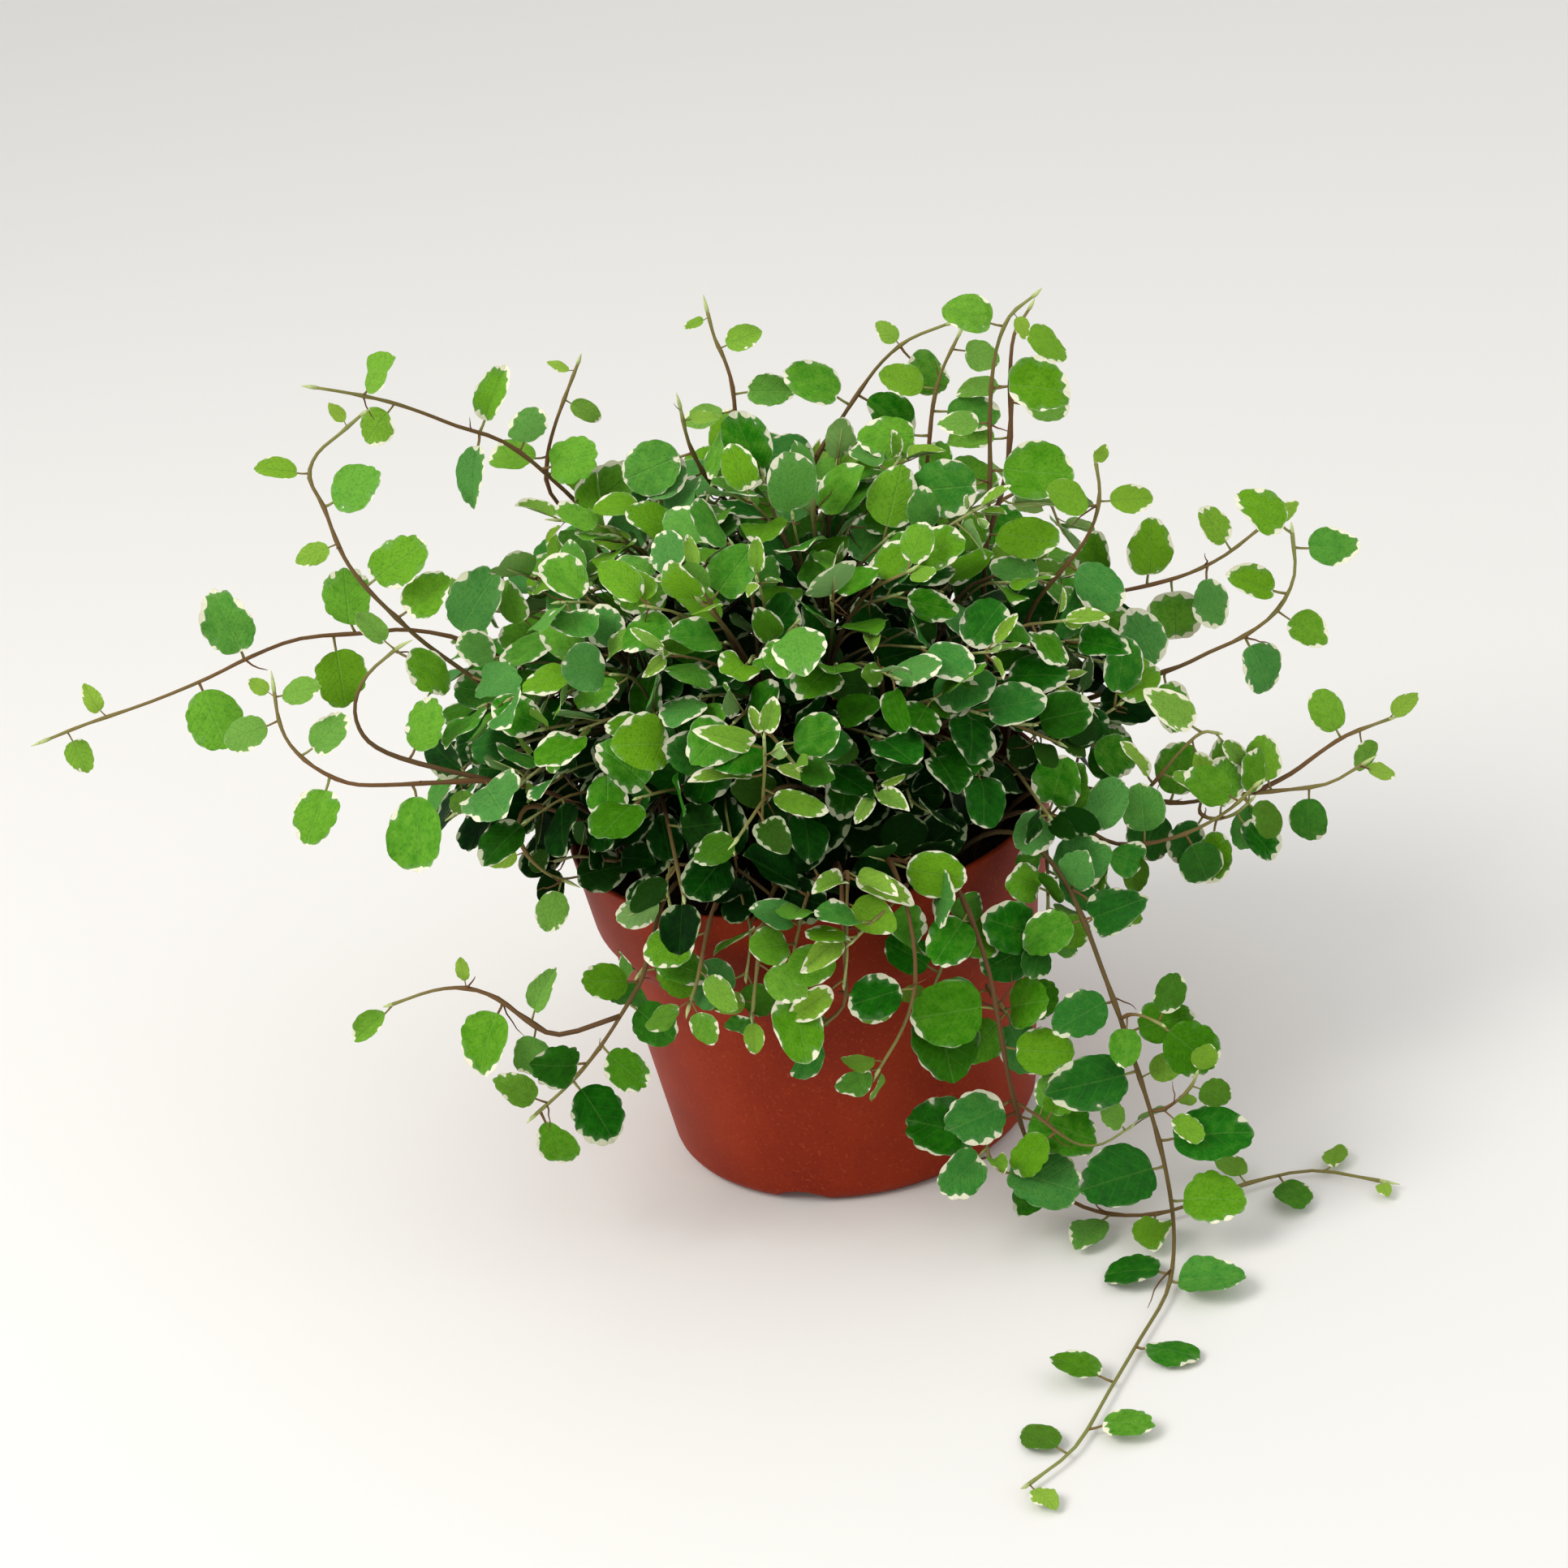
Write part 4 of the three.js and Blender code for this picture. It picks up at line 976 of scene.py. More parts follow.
def grow_packed(crowd, dice):
    """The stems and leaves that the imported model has: stems first, then the leaves on them"""
    plants = []
    for name, shoots in RUNNERS.items():
        plant = Plant(name, len(plants))
        for origin, path, leaves in shoots:
            if isinstance(origin, tuple):
                start = root_points(origin)
            else:
                start = [plant.stems[0].at_share(origin)]
            stem = route_stem(crowd, dice, start, path, plant.owner)
            plant.stems.append(stem)
            plant.rows.append((stem, leaves))
        plants.append(plant)
    for name, (root, path) in HANGING.items():
        plant = Plant(name, len(plants))
        stem = route_stem(crowd, dice, root_points(root), path, plant.owner)
        plant.stems.append(stem)
        plant.rows.append((stem, (HANGING_FIRST_LEAF, HANGING_GAP, HANGING_LEAF)))
        plants.append(plant)
    for i in range(MOUND_STEMS):
        plant = Plant(f"mound_stem_{i + 1}", len(plants))
        grow_mound_stem(crowd, dice, plant, i)
        plants.append(plant)
    for plant in plants:
        for stem, row in plant.rows:
            if isinstance(row, tuple):
                plant.leaves += grow_leaf_row(crowd, dice, stem, *row, plant.owner)
            else:
                for placed in row:
                    plant.leaves += grow_placed_leaf(
                        crowd, dice, stem, placed, plant.owner, PACKED_ROOM, FACING
                    )
    return plants


def grow_mound_stem(crowd, dice, plant, i):
    """A stem that rises from the soil to the mound's crown, and its side branch"""
    turn = i * GOLDEN_TURN * DEGREE
    distance = INNER_ROOT + (OUTER_ROOT - INNER_ROOT) * math.sqrt(i / MOUND_STEMS)
    root = [math.floor(distance * f(turn) + 0.5) for f in (math.cos, math.sin)]
    for k in range(2):
        rank = (i * 2 + k + 0.5) / (MOUND_STEMS * 2)
        rise = math.asin(1 - rank * LOWEST_RANK)
        aim = turn + (BRANCH_SPREAD if k else -BRANCH_SPREAD) + dice.draw(-AIM_SPREAD, AIM_SPREAD)
        tip = MOUND_CENTRE + np.array([
            math.cos(aim) * math.cos(rise) * MOUND_RADIUS,
            math.sin(aim) * math.cos(rise) * MOUND_RADIUS,
            math.sin(rise) * MOUND_HEIGHT,
        ])
        if k:
            start = [plant.stems[0].at_share(BRANCH_FROM)]
        else:
            start = root_points(root)
        arch = start[-1] + (tip - start[-1]) * 0.5
        arch[2] += ARCH_RISE + ARCH_MORE * math.cos(rise)
        stem = route_stem(crowd, dice, start, [arch, tip], plant.owner)
        plant.stems.append(stem)
        first = BRANCH_FIRST_LEAF if k else MOUND_FIRST_LEAF
        plant.rows.append((stem, (first, MOUND_GAP, MOUND_LEAF)))


def grow_sprays(crowd, dice, plants):
    """The listed side shoots at the rim and on the trailing stems"""
    for name, kind, path, leaves in SPRAYS:
        plant = next(plant for plant in plants if plant.name == name)
        points = as_points(path)
        hosts = [
            stem.place(distance)[0] for stem in plant.stems
            for distance in np.arange(SPRAY_HOST_START, stem.total, SPRAY_HOST_STEP)
        ]
        stem = Stem(chain([hosts[nearest(hosts, points[0])], *points]))
        crowd.add_stem(stem, plant.owner)
        plant.twigs.append(stem)
        for placed in leaves:
            facing = FACING + dice.vector(SPRAY_TILT)
            grown = grow_placed_leaf(crowd, dice, stem, placed, plant.owner, FILL_ROOM, facing)
            plant.twig_leaves += [leaf.coloured(kind == "pale") for leaf in grown]


def grow_tips(crowd, dice, plants):
    """Young leaves at the tips of the stems whose leaves stand by rule"""
    for plant in plants:
        for stem, row in plant.rows:
            if isinstance(row, tuple):
                for size in TIP_LEAVES:
                    plant.twig_leaves += grow_tip_leaf(crowd, dice, stem, plant.owner, size)


def dome_share(point):
    """How far out a place lies in the mound: 0 in its middle and 1 on its outer dome"""
    return length((point - FILL_CENTRE) / FILL_RADII)


def grow_fill(crowd, dice, plants):
    """Side shoots, each from the nearest stem inside the mound out to a place on its dome"""
    hosts = []
    for plant in plants:
        for stem in plant.stems:
            for distance in np.arange(HOST_START, stem.total, HOST_STEP):
                point = stem.place(distance)[0]
                if point[2] >= HOST_LOWEST and dome_share(point) < HOST_REACH:
                    hosts.append((point, plant))
    host_points = np.array([point for point, _ in hosts])
    for shell in FILL_SHELLS:
        shoots = []
        for k in range(shell["shoots"]):
            rise = math.asin(1 - (k + 0.5) / shell["shoots"] * FILL_LOWEST_RANK)
            turn = k * GOLDEN_TURN * DEGREE
            flat = math.cos(rise)
            out = np.array([math.cos(turn) * flat, math.sin(turn) * flat, math.sin(rise)])
            sprig = dice.draw(0, 1) < shell["sprigs"]
            reach = dice.draw(*shell["depths"]) + SPRIG_RISE * sprig
            tip = FILL_CENTRE + FILL_RADII * out * reach
            if tip[1] < FRONT_DEPTH and tip[2] < FRONT_LOWEST:
                continue
            inner = FILL_CENTRE + (tip - FILL_CENTRE) * FILL_START
            start, plant = hosts[nearest(host_points, inner)]
            arch = start + (tip - start) * 0.5 + UP * FILL_ARCH + dice.vector(FILL_BEND)
            stem = Stem(chain([start, arch, tip]))
            if np.all(clear_of_pot(stem.samples()[0], FILL_POT_CLEARANCE)):
                crowd.add_stem(stem, plant.owner)
                plant.twigs.append(stem)
                shoots.append((plant, stem, sprig))
        for plant, stem, sprig in shoots:
            for size in SPRIG_LEAVES if sprig else [shell["leaf"]]:
                tip_leaf = grow_tip_leaf(crowd, dice, stem, plant.owner, size)
                plant.twig_leaves += [leaf.coloured(sprig) for leaf in tip_leaf]
            plant.twig_leaves += grow_leaf_row(
                crowd, dice, stem, FILL_FIRST_LEAF, FILL_GAP, shell["leaf"], plant.owner,
                FILL_ROOM, FILL_TIP_SHARE, fill_face,
            )


def grow_tip_leaf(crowd, dice, stem, owner, long):
    """The leaf that ends a side shoot and hides its tip"""
    point, direction = stem.place(stem.total - 1)
    face = fill_face(unit(point - FILL_CENTRE))
    side = unit(np.cross(direction, face)) * dice.draw(-1, 1)
    size = long * dice.draw(*TIP_SIZES)
    return grow_leaf(crowd, dice, stem, point, direction + side, face, size, owner, FILL_ROOM)


def grow_plants():
    """Every plant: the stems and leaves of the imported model, then what fills them out"""
    crowd = Crowd()
    plants = grow_packed(crowd, Dice(SEED))
    dice = Dice(FILL_SEED)
    for grow in (grow_sprays, grow_tips, grow_fill):
        grow(crowd, dice, plants)
    return plants


def blade_template():
    """A round disc of panels for a leaf blade, closed by an underside: panels on both sides of the
    midrib, then a ring of them whose outer edges are cut fine enough to draw the lobed margin"""
    bm = bmesh.new()
    bmesh.ops.create_grid(bm, x_segments=MIDRIB_PANELS, y_segments=2, size=1)
    for vert in bm.verts:
        number = (vert.co.x + 1) / 2 * MIDRIB_PANELS
        angle = math.pi * (1 - (number + 1) / (MIDRIB_PANELS + 2))
        if abs(vert.co.y) > 0.5:
            vert.co = (math.cos(angle), math.copysign(math.sin(angle), vert.co.y), 0)
        vert.co *= INNER_PANELS
    inner_rim = [edge for edge in bm.edges if edge.is_boundary]
    ring = bmesh.ops.extrude_edge_only(bm, edges=inner_rim)["geom"]
    outer_edges = [item for item in ring if isinstance(item, bmesh.types.BMEdge)]
    bmesh.ops.bisect_edges(bm, edges=outer_edges, cuts=MARGIN_CUTS)
    for vert in bm.verts:
        if vert.is_boundary:
            vert.co.normalize()
    upper = list(bm.faces)
    under = bmesh.ops.duplicate(bm, geom=list(bm.verts) + list(bm.edges) + upper)["geom"]
    for face in (item for item in under if isinstance(item, bmesh.types.BMFace)):
        face.material_index = UNDERSIDE
    for vert in (item for item in under if isinstance(item, bmesh.types.BMVert)):
        vert.co.z = 0 if vert.is_boundary else -1
    bmesh.ops.remove_doubles(bm, verts=bm.verts, dist=0.001)
    bmesh.ops.recalc_face_normals(bm, faces=bm.faces)
    layer = bm.loops.layers.uv.new(LEAF_LAYER)
    for face in bm.faces:
        face.smooth = True
        for loop in face.loops:
            loop[layer].uv = (0.5 + loop.vert.co.x / 2, 0.5 + loop.vert.co.y / 2)
    for edge in bm.edges:
        edge.smooth = len({face.material_index for face in edge.link_faces}) == 1
    mesh = bpy.data.meshes.new("blade_template")
    bm.to_mesh(mesh)
    bm.free()
    return mesh


def sweep(bm, points, radii, sides, trait):
    """A round stem along points, as thick as radii say, closed at both ends. Its trait is its age
    at its start and at its end, its redness and its seed."""
    layer = bm.verts.layers.float_color[TRAITS]
    ring = bmesh.ops.create_circle(bm, segments=sides, radius=1)["verts"]
    edges = list({edge for vert in ring for edge in vert.link_edges})
    first_edges = edges
    sideways = None
    laid = Matrix.Identity(4)
    for i, (point, radius) in enumerate(zip(points, radii)):
        ahead = Vector(points[min(i + 1, len(points) - 1)] - points[max(i - 1, 0)]).normalized()
        sideways = sideways or ahead.orthogonal()
        sideways = (sideways - ahead * sideways.dot(ahead)).normalized()
        across = ahead.cross(sideways)
        turned = Matrix((sideways * radius, across * radius, ahead)).transposed().to_4x4()
        turned.translation = Vector(point)
        if i:
            grown_ring = bmesh.ops.extrude_edge_only(bm, edges=edges)["geom"]
            ring = [item for item in grown_ring if isinstance(item, bmesh.types.BMVert)]
            edges = [item for item in grown_ring if isinstance(item, bmesh.types.BMEdge)]
        bmesh.ops.transform(bm, matrix=turned @ laid.inverted(), verts=ring)
        laid = turned
        age = trait[0] + (trait[1] - trait[0]) * i / (len(points) - 1)
        # Painted shade on the bark: darker the deeper the ring lies inside the mound
        painted_shade = clamp((PAINTED_SHADE_REACH - dome_share(point)) * PAINTED_SHADE_FADE)
        for vert in ring:
            vert[layer] = (age, trait[2], painted_shade, trait[3])
    bmesh.ops.edgeloop_fill(bm, edges=first_edges)
    bmesh.ops.edgeloop_fill(bm, edges=edges)


def smooth_line(stem, steps):
    """A stem's line as a smooth curve, with so many steps for each of its pieces"""
    count = (len(stem.points) - 1) * steps
    return [curve_point(stem.points, k / count) for k in range(count + 1)]


def add_stem(bm, stem, leaves, radii, ages, sides, rootlets, dice, whole=True):
    """A stem with a knot at each leaf's foot, a bud at its tip and a few short rootlets. One that
    isn't whole ends at its last leaf."""
    thick, thin = radii
    line = smooth_line(stem, 3)
    feet = np.array([leaf.foot for leaf in leaves]) if leaves else np.zeros((0, 3))
    if not whole:
        line = line[: max(4, 2 + max(nearest(line, foot) for foot in feet))]
    seed = dice.draw(0, 1)
    redness = dice.draw(0, 0.6)
    widths = []
    for k, point in enumerate(line):
        share = k / (len(line) - 1)
        gaps = distances(feet, point)
        knot = math.exp(-((min(gaps, default=9) / KNOT_REACH) ** 2))
        widths.append((thick + (thin - thick) * share) * (1 + KNOT_SWELL * knot))
    sweep(bm, line, widths, sides, (*ages, redness, seed))
    tip, direction = line[-1], unit(line[-1] - line[-2])
    bud = BUD_LENGTH * dice.draw(0.5, 1.1) * (0.5 if stem.total < SHORT_STEM else 1)
    droop = dice.vector(0.15 * bud)
    bud_line = [tip + direction * bud * share + droop * share * share for share in BUD_SHARES]
    bud_widths = [*(thin * swell for swell in BUD_SWELL), BUD_POINT]
    sweep(bm, bud_line, bud_widths, 6, (0.9, 1.1, 0.1, seed))
    for leaf in leaves:
        if dice.draw(0, 1) < ROOTLET_SHARE:
            add_rootlet(bm, leaf.foot, rootlets, dice)


def add_rootlet(bm, foot, lengths, dice):
    """A thin twisted air root at a knot"""
    reach = dice.draw(*lengths)
    away = unit(dice.vector(1) - UP * 0.4)
    bend = dice.vector(0.9)
    line = [foot + (away * share + bend * share * share) * reach for share in ROOTLET_SHARES]
    line = [line[0], *(point + dice.vector(0.25) for point in line[1:])]
    if min(point[2] for point in line) > 1:
        sweep(bm, line, ROOTLET_RADII, 4, (0.15, 0.3, 0.6, dice.draw(0, 1)))


def add_petiole(bm, leaf, shape, dice):
    """A leaf's stalk, which runs on under its blade as the midrib"""
    line = smooth_line(leaf.stem, 6)
    foot = line[nearest(line, leaf.foot)]
    drop = -shape.normal * (leaf.long * STALK_DROP)
    ribs = [
        shape.at(np.array([share]), np.array([0.0]), -1)[0] - shape.normal * depth
        for share, depth in MIDRIB_LINE
    ]
    middle = foot + (leaf.heel - foot) * 0.5 + drop
    size = min(1, leaf.long / STALK_LEAF)
    trait = (0.75, 1.0, dice.draw(0, 0.9), dice.draw(0, 1))
    sweep(bm, [foot, middle, *ribs], [radius * size for radius in STALK_RADII], 5, trait)


class BladeShape:
    """The form of one leaf: its lobed outline, its fold along the midrib and its edge's waves"""

    def __init__(self, leaf, young, toothed, dice):
        self.leaf = leaf
        self.phases = [dice.draw(0, 2 * math.pi) for _ in range(5)]
        self.width = OVAL_WIDTH * (dice.draw(0.84, 1.12) - 0.26 * young)
        self.egg = dice.draw(0.0, 0.12) + 0.08 * young
        self.notch = dice.draw(0.0, 0.03) * (1 - young)
        self.tip = dice.draw(-0.02, 0.02) + 0.06 * young
        self.uneven = dice.draw(0.012, 0.034)
        self.lobes = dice.draw(*(TEETH if toothed else CREASES)) * (1 - 0.5 * young)
        self.fold = dice.draw(0, 0.32)
        if leaf.pale or dice.draw(0, 1) < FOLDED_SHARE:
            self.fold = dice.draw(0.45, 0.95)
        if leaf.pale:
            self.width *= dice.draw(0.66, 0.9)
        self.cup = dice.draw(-0.16, 0.06)
        self.wave = EDGE_WAVE * (0.5 + 0.9 * abs(leaf.wave))
        self.twist = dice.draw(-0.16, 0.16)
        roll = dice.draw(-ROLL, ROLL)
        self.bend = dice.draw(-0.16, 0.2)
        if leaf.heel[2] < LYING_HEIGHT + 2:
            roll, self.bend = 0, 0.02
            self.fold = min(self.fold, 0.2)
        self.side = leaf.side * math.cos(roll) + leaf.normal * math.sin(roll)
        self.normal = leaf.normal * math.cos(roll) - leaf.side * math.sin(roll)

    def at(self, along, across, layer):
        """Places on the blade for places on the disc, in the layer 0 of its face or -1 below it"""
        leaf = self.leaf
        angle = np.arctan2(across, along)
        radius = np.hypot(along, across)
        edge = radius ** 4
        lobed = np.abs(np.cos(angle * LOBES / 2)) - 0.6
        lobed *= (1 + 0.5 * np.sin(2 * angle + self.phases[4])) * np.clip((along + 0.95) * 3, 0, 1)
        slow = np.sin(2 * angle + self.phases[0]) + np.sin(3 * angle + self.phases[1])
        out = 1 + edge * (self.lobes * lobed + self.uneven * slow)
        share = 0.5 + OVAL_LENGTH * along * out
        share += self.notch * np.exp(-(along + 1) / 0.2) * np.exp(-((across / 0.2) ** 2))
        share += self.tip * np.exp(-(1 - along) / 0.12)
        steep = 1 / math.hypot(1, self.fold)
        flat = across * self.width * out * (1 - self.egg * along)
        lift = np.abs(flat) * self.fold * steep + self.cup * flat * flat * 4
        waves = np.sin(3 * angle + self.phases[2]) + 0.6 * np.sin(5 * angle + self.phases[3])
        lift += edge * self.wave * waves + self.twist * flat * along
        lift -= BLADE_DROOP * share * share + self.bend * share * share
        depth = leaf.long * lift + layer * BLADE_DEPTH * (1 - radius * radius)
        places = leaf.heel + np.multiply.outer(leaf.long * share, leaf.forward)
        places = places + np.multiply.outer(leaf.long * flat * steep, self.side)
        return places + np.multiply.outer(depth, self.normal)


def add_leaf(bm, disc, leaf, young, toothed, dice):
    """A leaf's stalk in the mesh, and the places of its blade's vertices"""
    shape = BladeShape(leaf, young, toothed, dice)
    add_petiole(bm, leaf, shape, dice)
    return shape.at(disc[:, 0], disc[:, 1], disc[:, 2])


def leaf_traits(plant, leaf, dice):
    """A leaf's painted light, from painted deep shade to painted sun, with a random spread,
    its youth, its share of cream and its seed
    """
    x, y, z = leaf.points(np.array([0.5]), np.array([0.0]), 0.0)[0]
    ripe = YOUNG_LENGTH + 1 if leaf in plant.leaves else YOUNG_LENGTH - 1
    young = clamp((ripe - leaf.long) / YOUNG_OVER) * dice.draw(0.6, 1)
    # Painted shade: leaves that lie deeper inside the mound get less painted light
    painted_light_and_tone = clamp((dome_share(np.array([x, y, z])) - SHADE_DEPTH) / SHADE_FADE) * DOME_PAINTED_LIGHT
    light = 1
    if z < RIM_HEIGHT:
        painted_light_and_tone = POT_PAINTED_LIGHT
    # Painted shade at the mound's foot: the lower a leaf in or near the mound, the less painted
    # light it gets
    elif plant.name.startswith("mound") or math.hypot(x, y) < RIM_RADIUS + MOUND_EDGE:
        light = clamp((z - LIT_FROM) / LIT_OVER)
        painted_light_and_tone *= UNLIT_TONE + (1 - UNLIT_TONE) * light
    # Painted light on the upper left, which faces the key light, and painted shade on the lower
    # right
    if x < SUNNY_LEFT and z > SUNNY_ABOVE:
        painted_light_and_tone += SUNNY_TONE
    if x > PAINTED_SHADE_RIGHT and z < PAINTED_SHADE_BELOW:
        painted_light_and_tone -= PAINTED_SHADE_TONE
    painted_light_and_tone += dice.draw(*TONE_SPREAD) * (0.4 + 0.6 * light)
    if z < RIM_HEIGHT:
        painted_light_and_tone = max(painted_light_and_tone, LEAST_POT_PAINTED_LIGHT)
    cream = CREAM.get(plant.name, MOUND_CREAM) + dice.draw(-CREAM_SPREAD, CREAM_SPREAD)
    cream = clamp(cream) * (1 - 0.8 * young)
    if leaf.pale:
        painted_light_and_tone, young, cream = dice.draw(0.5, 0.9), dice.draw(0.35, 0.8), dice.draw(0.7, 1)
    return (clamp(painted_light_and_tone), young, cream, dice.draw(0, 1))


def grow_piece(plant, dice, template, settings):
    """One plant as one mesh in metres: its stems, stalks and rootlets first, then its blades"""
    bm = bmesh.new()
    layer = bm.verts.layers.float_color.new(TRAITS)
    bm.loops.layers.uv.new(LEAF_LAYER)
    radii = (settings.stem_radius, settings.stem_tip_radius, settings.twig_radius)
    thick, thin, twig = (radius / MM for radius in radii)
    rootlets = HOOKED_LENGTH if plant.name in TRAILING else ROOTLET_LENGTH
    for stem in plant.stems:
        own = [leaf for leaf in plant.leaves if leaf.stem is stem]
        add_stem(bm, stem, own, (thick, thin), (0, 0.85), settings.stem_sides, rootlets, dice)
    for stem in plant.twigs:
        own = [leaf for leaf in plant.twig_leaves if leaf.stem is stem]
        if own:
            add_stem(
                bm, stem, own, (twig, twig * 0.7), (0.45, 0.95), 6, rootlets, dice, whole=False
            )
    if plant.name == ROOTED:
        for root in SURFACE_ROOTS:
            line = smooth_line(Stem(as_points(root)), 4)
            widths = [SURFACE_ROOT_RADIUS] * (len(line) - 1) + [SURFACE_ROOT_END]
            sweep(bm, line, widths, 5, (0.8, 0.8, 0.5, dice.draw(0, 1)))
    disc = np.array([vert.co[:] for vert in template.vertices])
    leaves = plant.leaves + plant.twig_leaves
    traits = [leaf_traits(plant, leaf, dice) for leaf in leaves]
    toothed = plant.name in TOOTHED
    places = [
        add_leaf(bm, disc, leaf, trait[1], toothed, dice) for leaf, trait in zip(leaves, traits)
    ]
    for face in bm.faces:
        face.material_index = BARK
        face.smooth = True
    bmesh.ops.recalc_face_normals(bm, faces=bm.faces)
    for place, trait in zip(places, traits):
        first = len(bm.verts)
        bm.from_mesh(template)
        bm.verts.ensure_lookup_table()
        for vert, point in zip(bm.verts[first:], place):
            vert.co = point
            vert[layer] = trait
    bmesh.ops.scale(bm, vec=(MM, MM, MM), verts=bm.verts)
    return bm


def keep(bm, name, materials, node):
    """The finished shape as a piece with its materials"""
    mesh = bpy.data.meshes.new(name)
    for material in materials:
        mesh.materials.append(material)
    bm.to_mesh(mesh)
    bm.free()
    return keep_mesh(mesh, name, node)


def keep_mesh(mesh, name, node):
    """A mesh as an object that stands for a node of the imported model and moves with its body"""
    piece = bpy.data.objects.new(name, mesh)
    bpy.context.scene.collection.objects.link(piece)
    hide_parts(node)
    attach(piece, "root")
    return piece


def ring_edges(bm, radius, height):
    """The edges of a turned shape that run round it at a radius and height"""
    def on_ring(vert):
        far = math.hypot(vert.co.x, vert.co.y)
        return abs(far - radius) < 0.01 and abs(vert.co.z - height) < 0.01
    return [edge for edge in bm.edges if all(on_ring(vert) for vert in edge.verts)]


def turned(profile, steps):
    """A closed shape turned about the upright axis from a profile of [radius, height]"""
    bm = bmesh.new()
    verts = [bm.verts.new((radius, 0, height)) for radius, height in profile]
    edges = [bm.edges.new(pair) for pair in zip(verts, verts[1:])]
    bmesh.ops.spin(
        bm, geom=verts + edges, cent=(0, 0, 0), axis=(0, 0, 1), angle=2 * math.pi, steps=steps,
        use_merge=True,
    )
    bmesh.ops.remove_doubles(bm, verts=bm.verts, dist=0.001)
    bmesh.ops.recalc_face_normals(bm, faces=bm.faces)
    return bm


def pot_body(settings):
    """The turned pot with its rounded foot, collar and rim, in millimetres"""
    profile = [
        [0, 0], [BASE_RADIUS, 0], [BODY_TOP_RADIUS, STEP_FOOT], [COLLAR_FOOT_RADIUS, COLLAR_FOOT],
        [RIM_RADIUS, RIM_HEIGHT], [RIM_RADIUS - WALL, RIM_HEIGHT],
        [COLLAR_FOOT_RADIUS - WALL, COLLAR_FOOT + 1], [BODY_TOP_RADIUS - WALL, STEP_FOOT],
        [INNER_FOOT, FLOOR_THICKNESS], [0, FLOOR_THICKNESS],
    ]
    bm = turned(profile, settings.turning_steps)
    rounded = [
        (BASE_RADIUS, 0, BASE_ROUNDING, 5),
        (BODY_TOP_RADIUS, STEP_FOOT, COLLAR_ROUNDING, 4),
        (COLLAR_FOOT_RADIUS, COLLAR_FOOT, COLLAR_ROUNDING, 4),
        (RIM_RADIUS, RIM_HEIGHT, settings.lip / MM, 3),
        (RIM_RADIUS - WALL, RIM_HEIGHT, settings.lip / MM, 3),
    ]
    for radius, height, size, segments in rounded:
        bmesh.ops.bevel(
            bm, geom=ring_edges(bm, radius, height), offset=size, offset_type="OFFSET",
            affect="EDGES", segments=segments, profile=0.5, material=-1,
        )
    return bm


def pot_cutters():
    """What is cut from the pot's underside: its grooves and drain holes, in millimetres"""
    bm = bmesh.new()
    half = GROOVE_WIDTH / 2
    reach = BASE_RADIUS + GROOVE_OVERSHOOT - GROOVE_INNER_END
    lay = Matrix.Translation((GROOVE_INNER_END + reach / 2, 0, 0))
    lay = lay @ Matrix.Rotation(math.pi / 2, 4, "Y")
    flatten = Matrix.Diagonal((1, 1, GROOVE_HEIGHT / half, 1))
    for k in range(GROOVE_COUNT):
        turn = Matrix.Rotation((GROOVE_TURN + k * 360 / GROOVE_COUNT) * DEGREE, 4, "Z")
        bmesh.ops.create_cone(
            bm, cap_ends=True, segments=40, radius1=half, radius2=half, depth=reach,
            matrix=turn @ flatten @ lay,
        )
        bmesh.ops.create_cone(
            bm, cap_ends=True, segments=24, radius1=DRAIN_RADIUS, radius2=DRAIN_RADIUS,
            depth=FLOOR_THICKNESS * 3, matrix=turn @ Matrix.Translation((DRAIN_DISTANCE, 0, 0)),
        )
    bmesh.ops.scale(bm, vec=(MM, MM, MM), verts=bm.verts)
    return bm


def cut(bm, cutters):
    """The mesh that is left when the cutters are taken from a shape"""
    objects = []
    for shape in (bm, cutters):
        mesh = bpy.data.meshes.new("cut_work")
        shape.to_mesh(mesh)
        shape.free()
        objects.append(bpy.data.objects.new("cut_work", mesh))
        bpy.context.scene.collection.objects.link(objects[-1])
    body, tool = objects
    boolean = body.modifiers.new("cut", "BOOLEAN")
    boolean.operation = "DIFFERENCE"
    boolean.solver = "EXACT"
    boolean.use_self = True
    boolean.object = tool
    evaluated = body.evaluated_get(bpy.context.evaluated_depsgraph_get())
    mesh = bpy.data.meshes.new_from_object(evaluated)
    for item in objects:
        bpy.data.objects.remove(item)
    return mesh


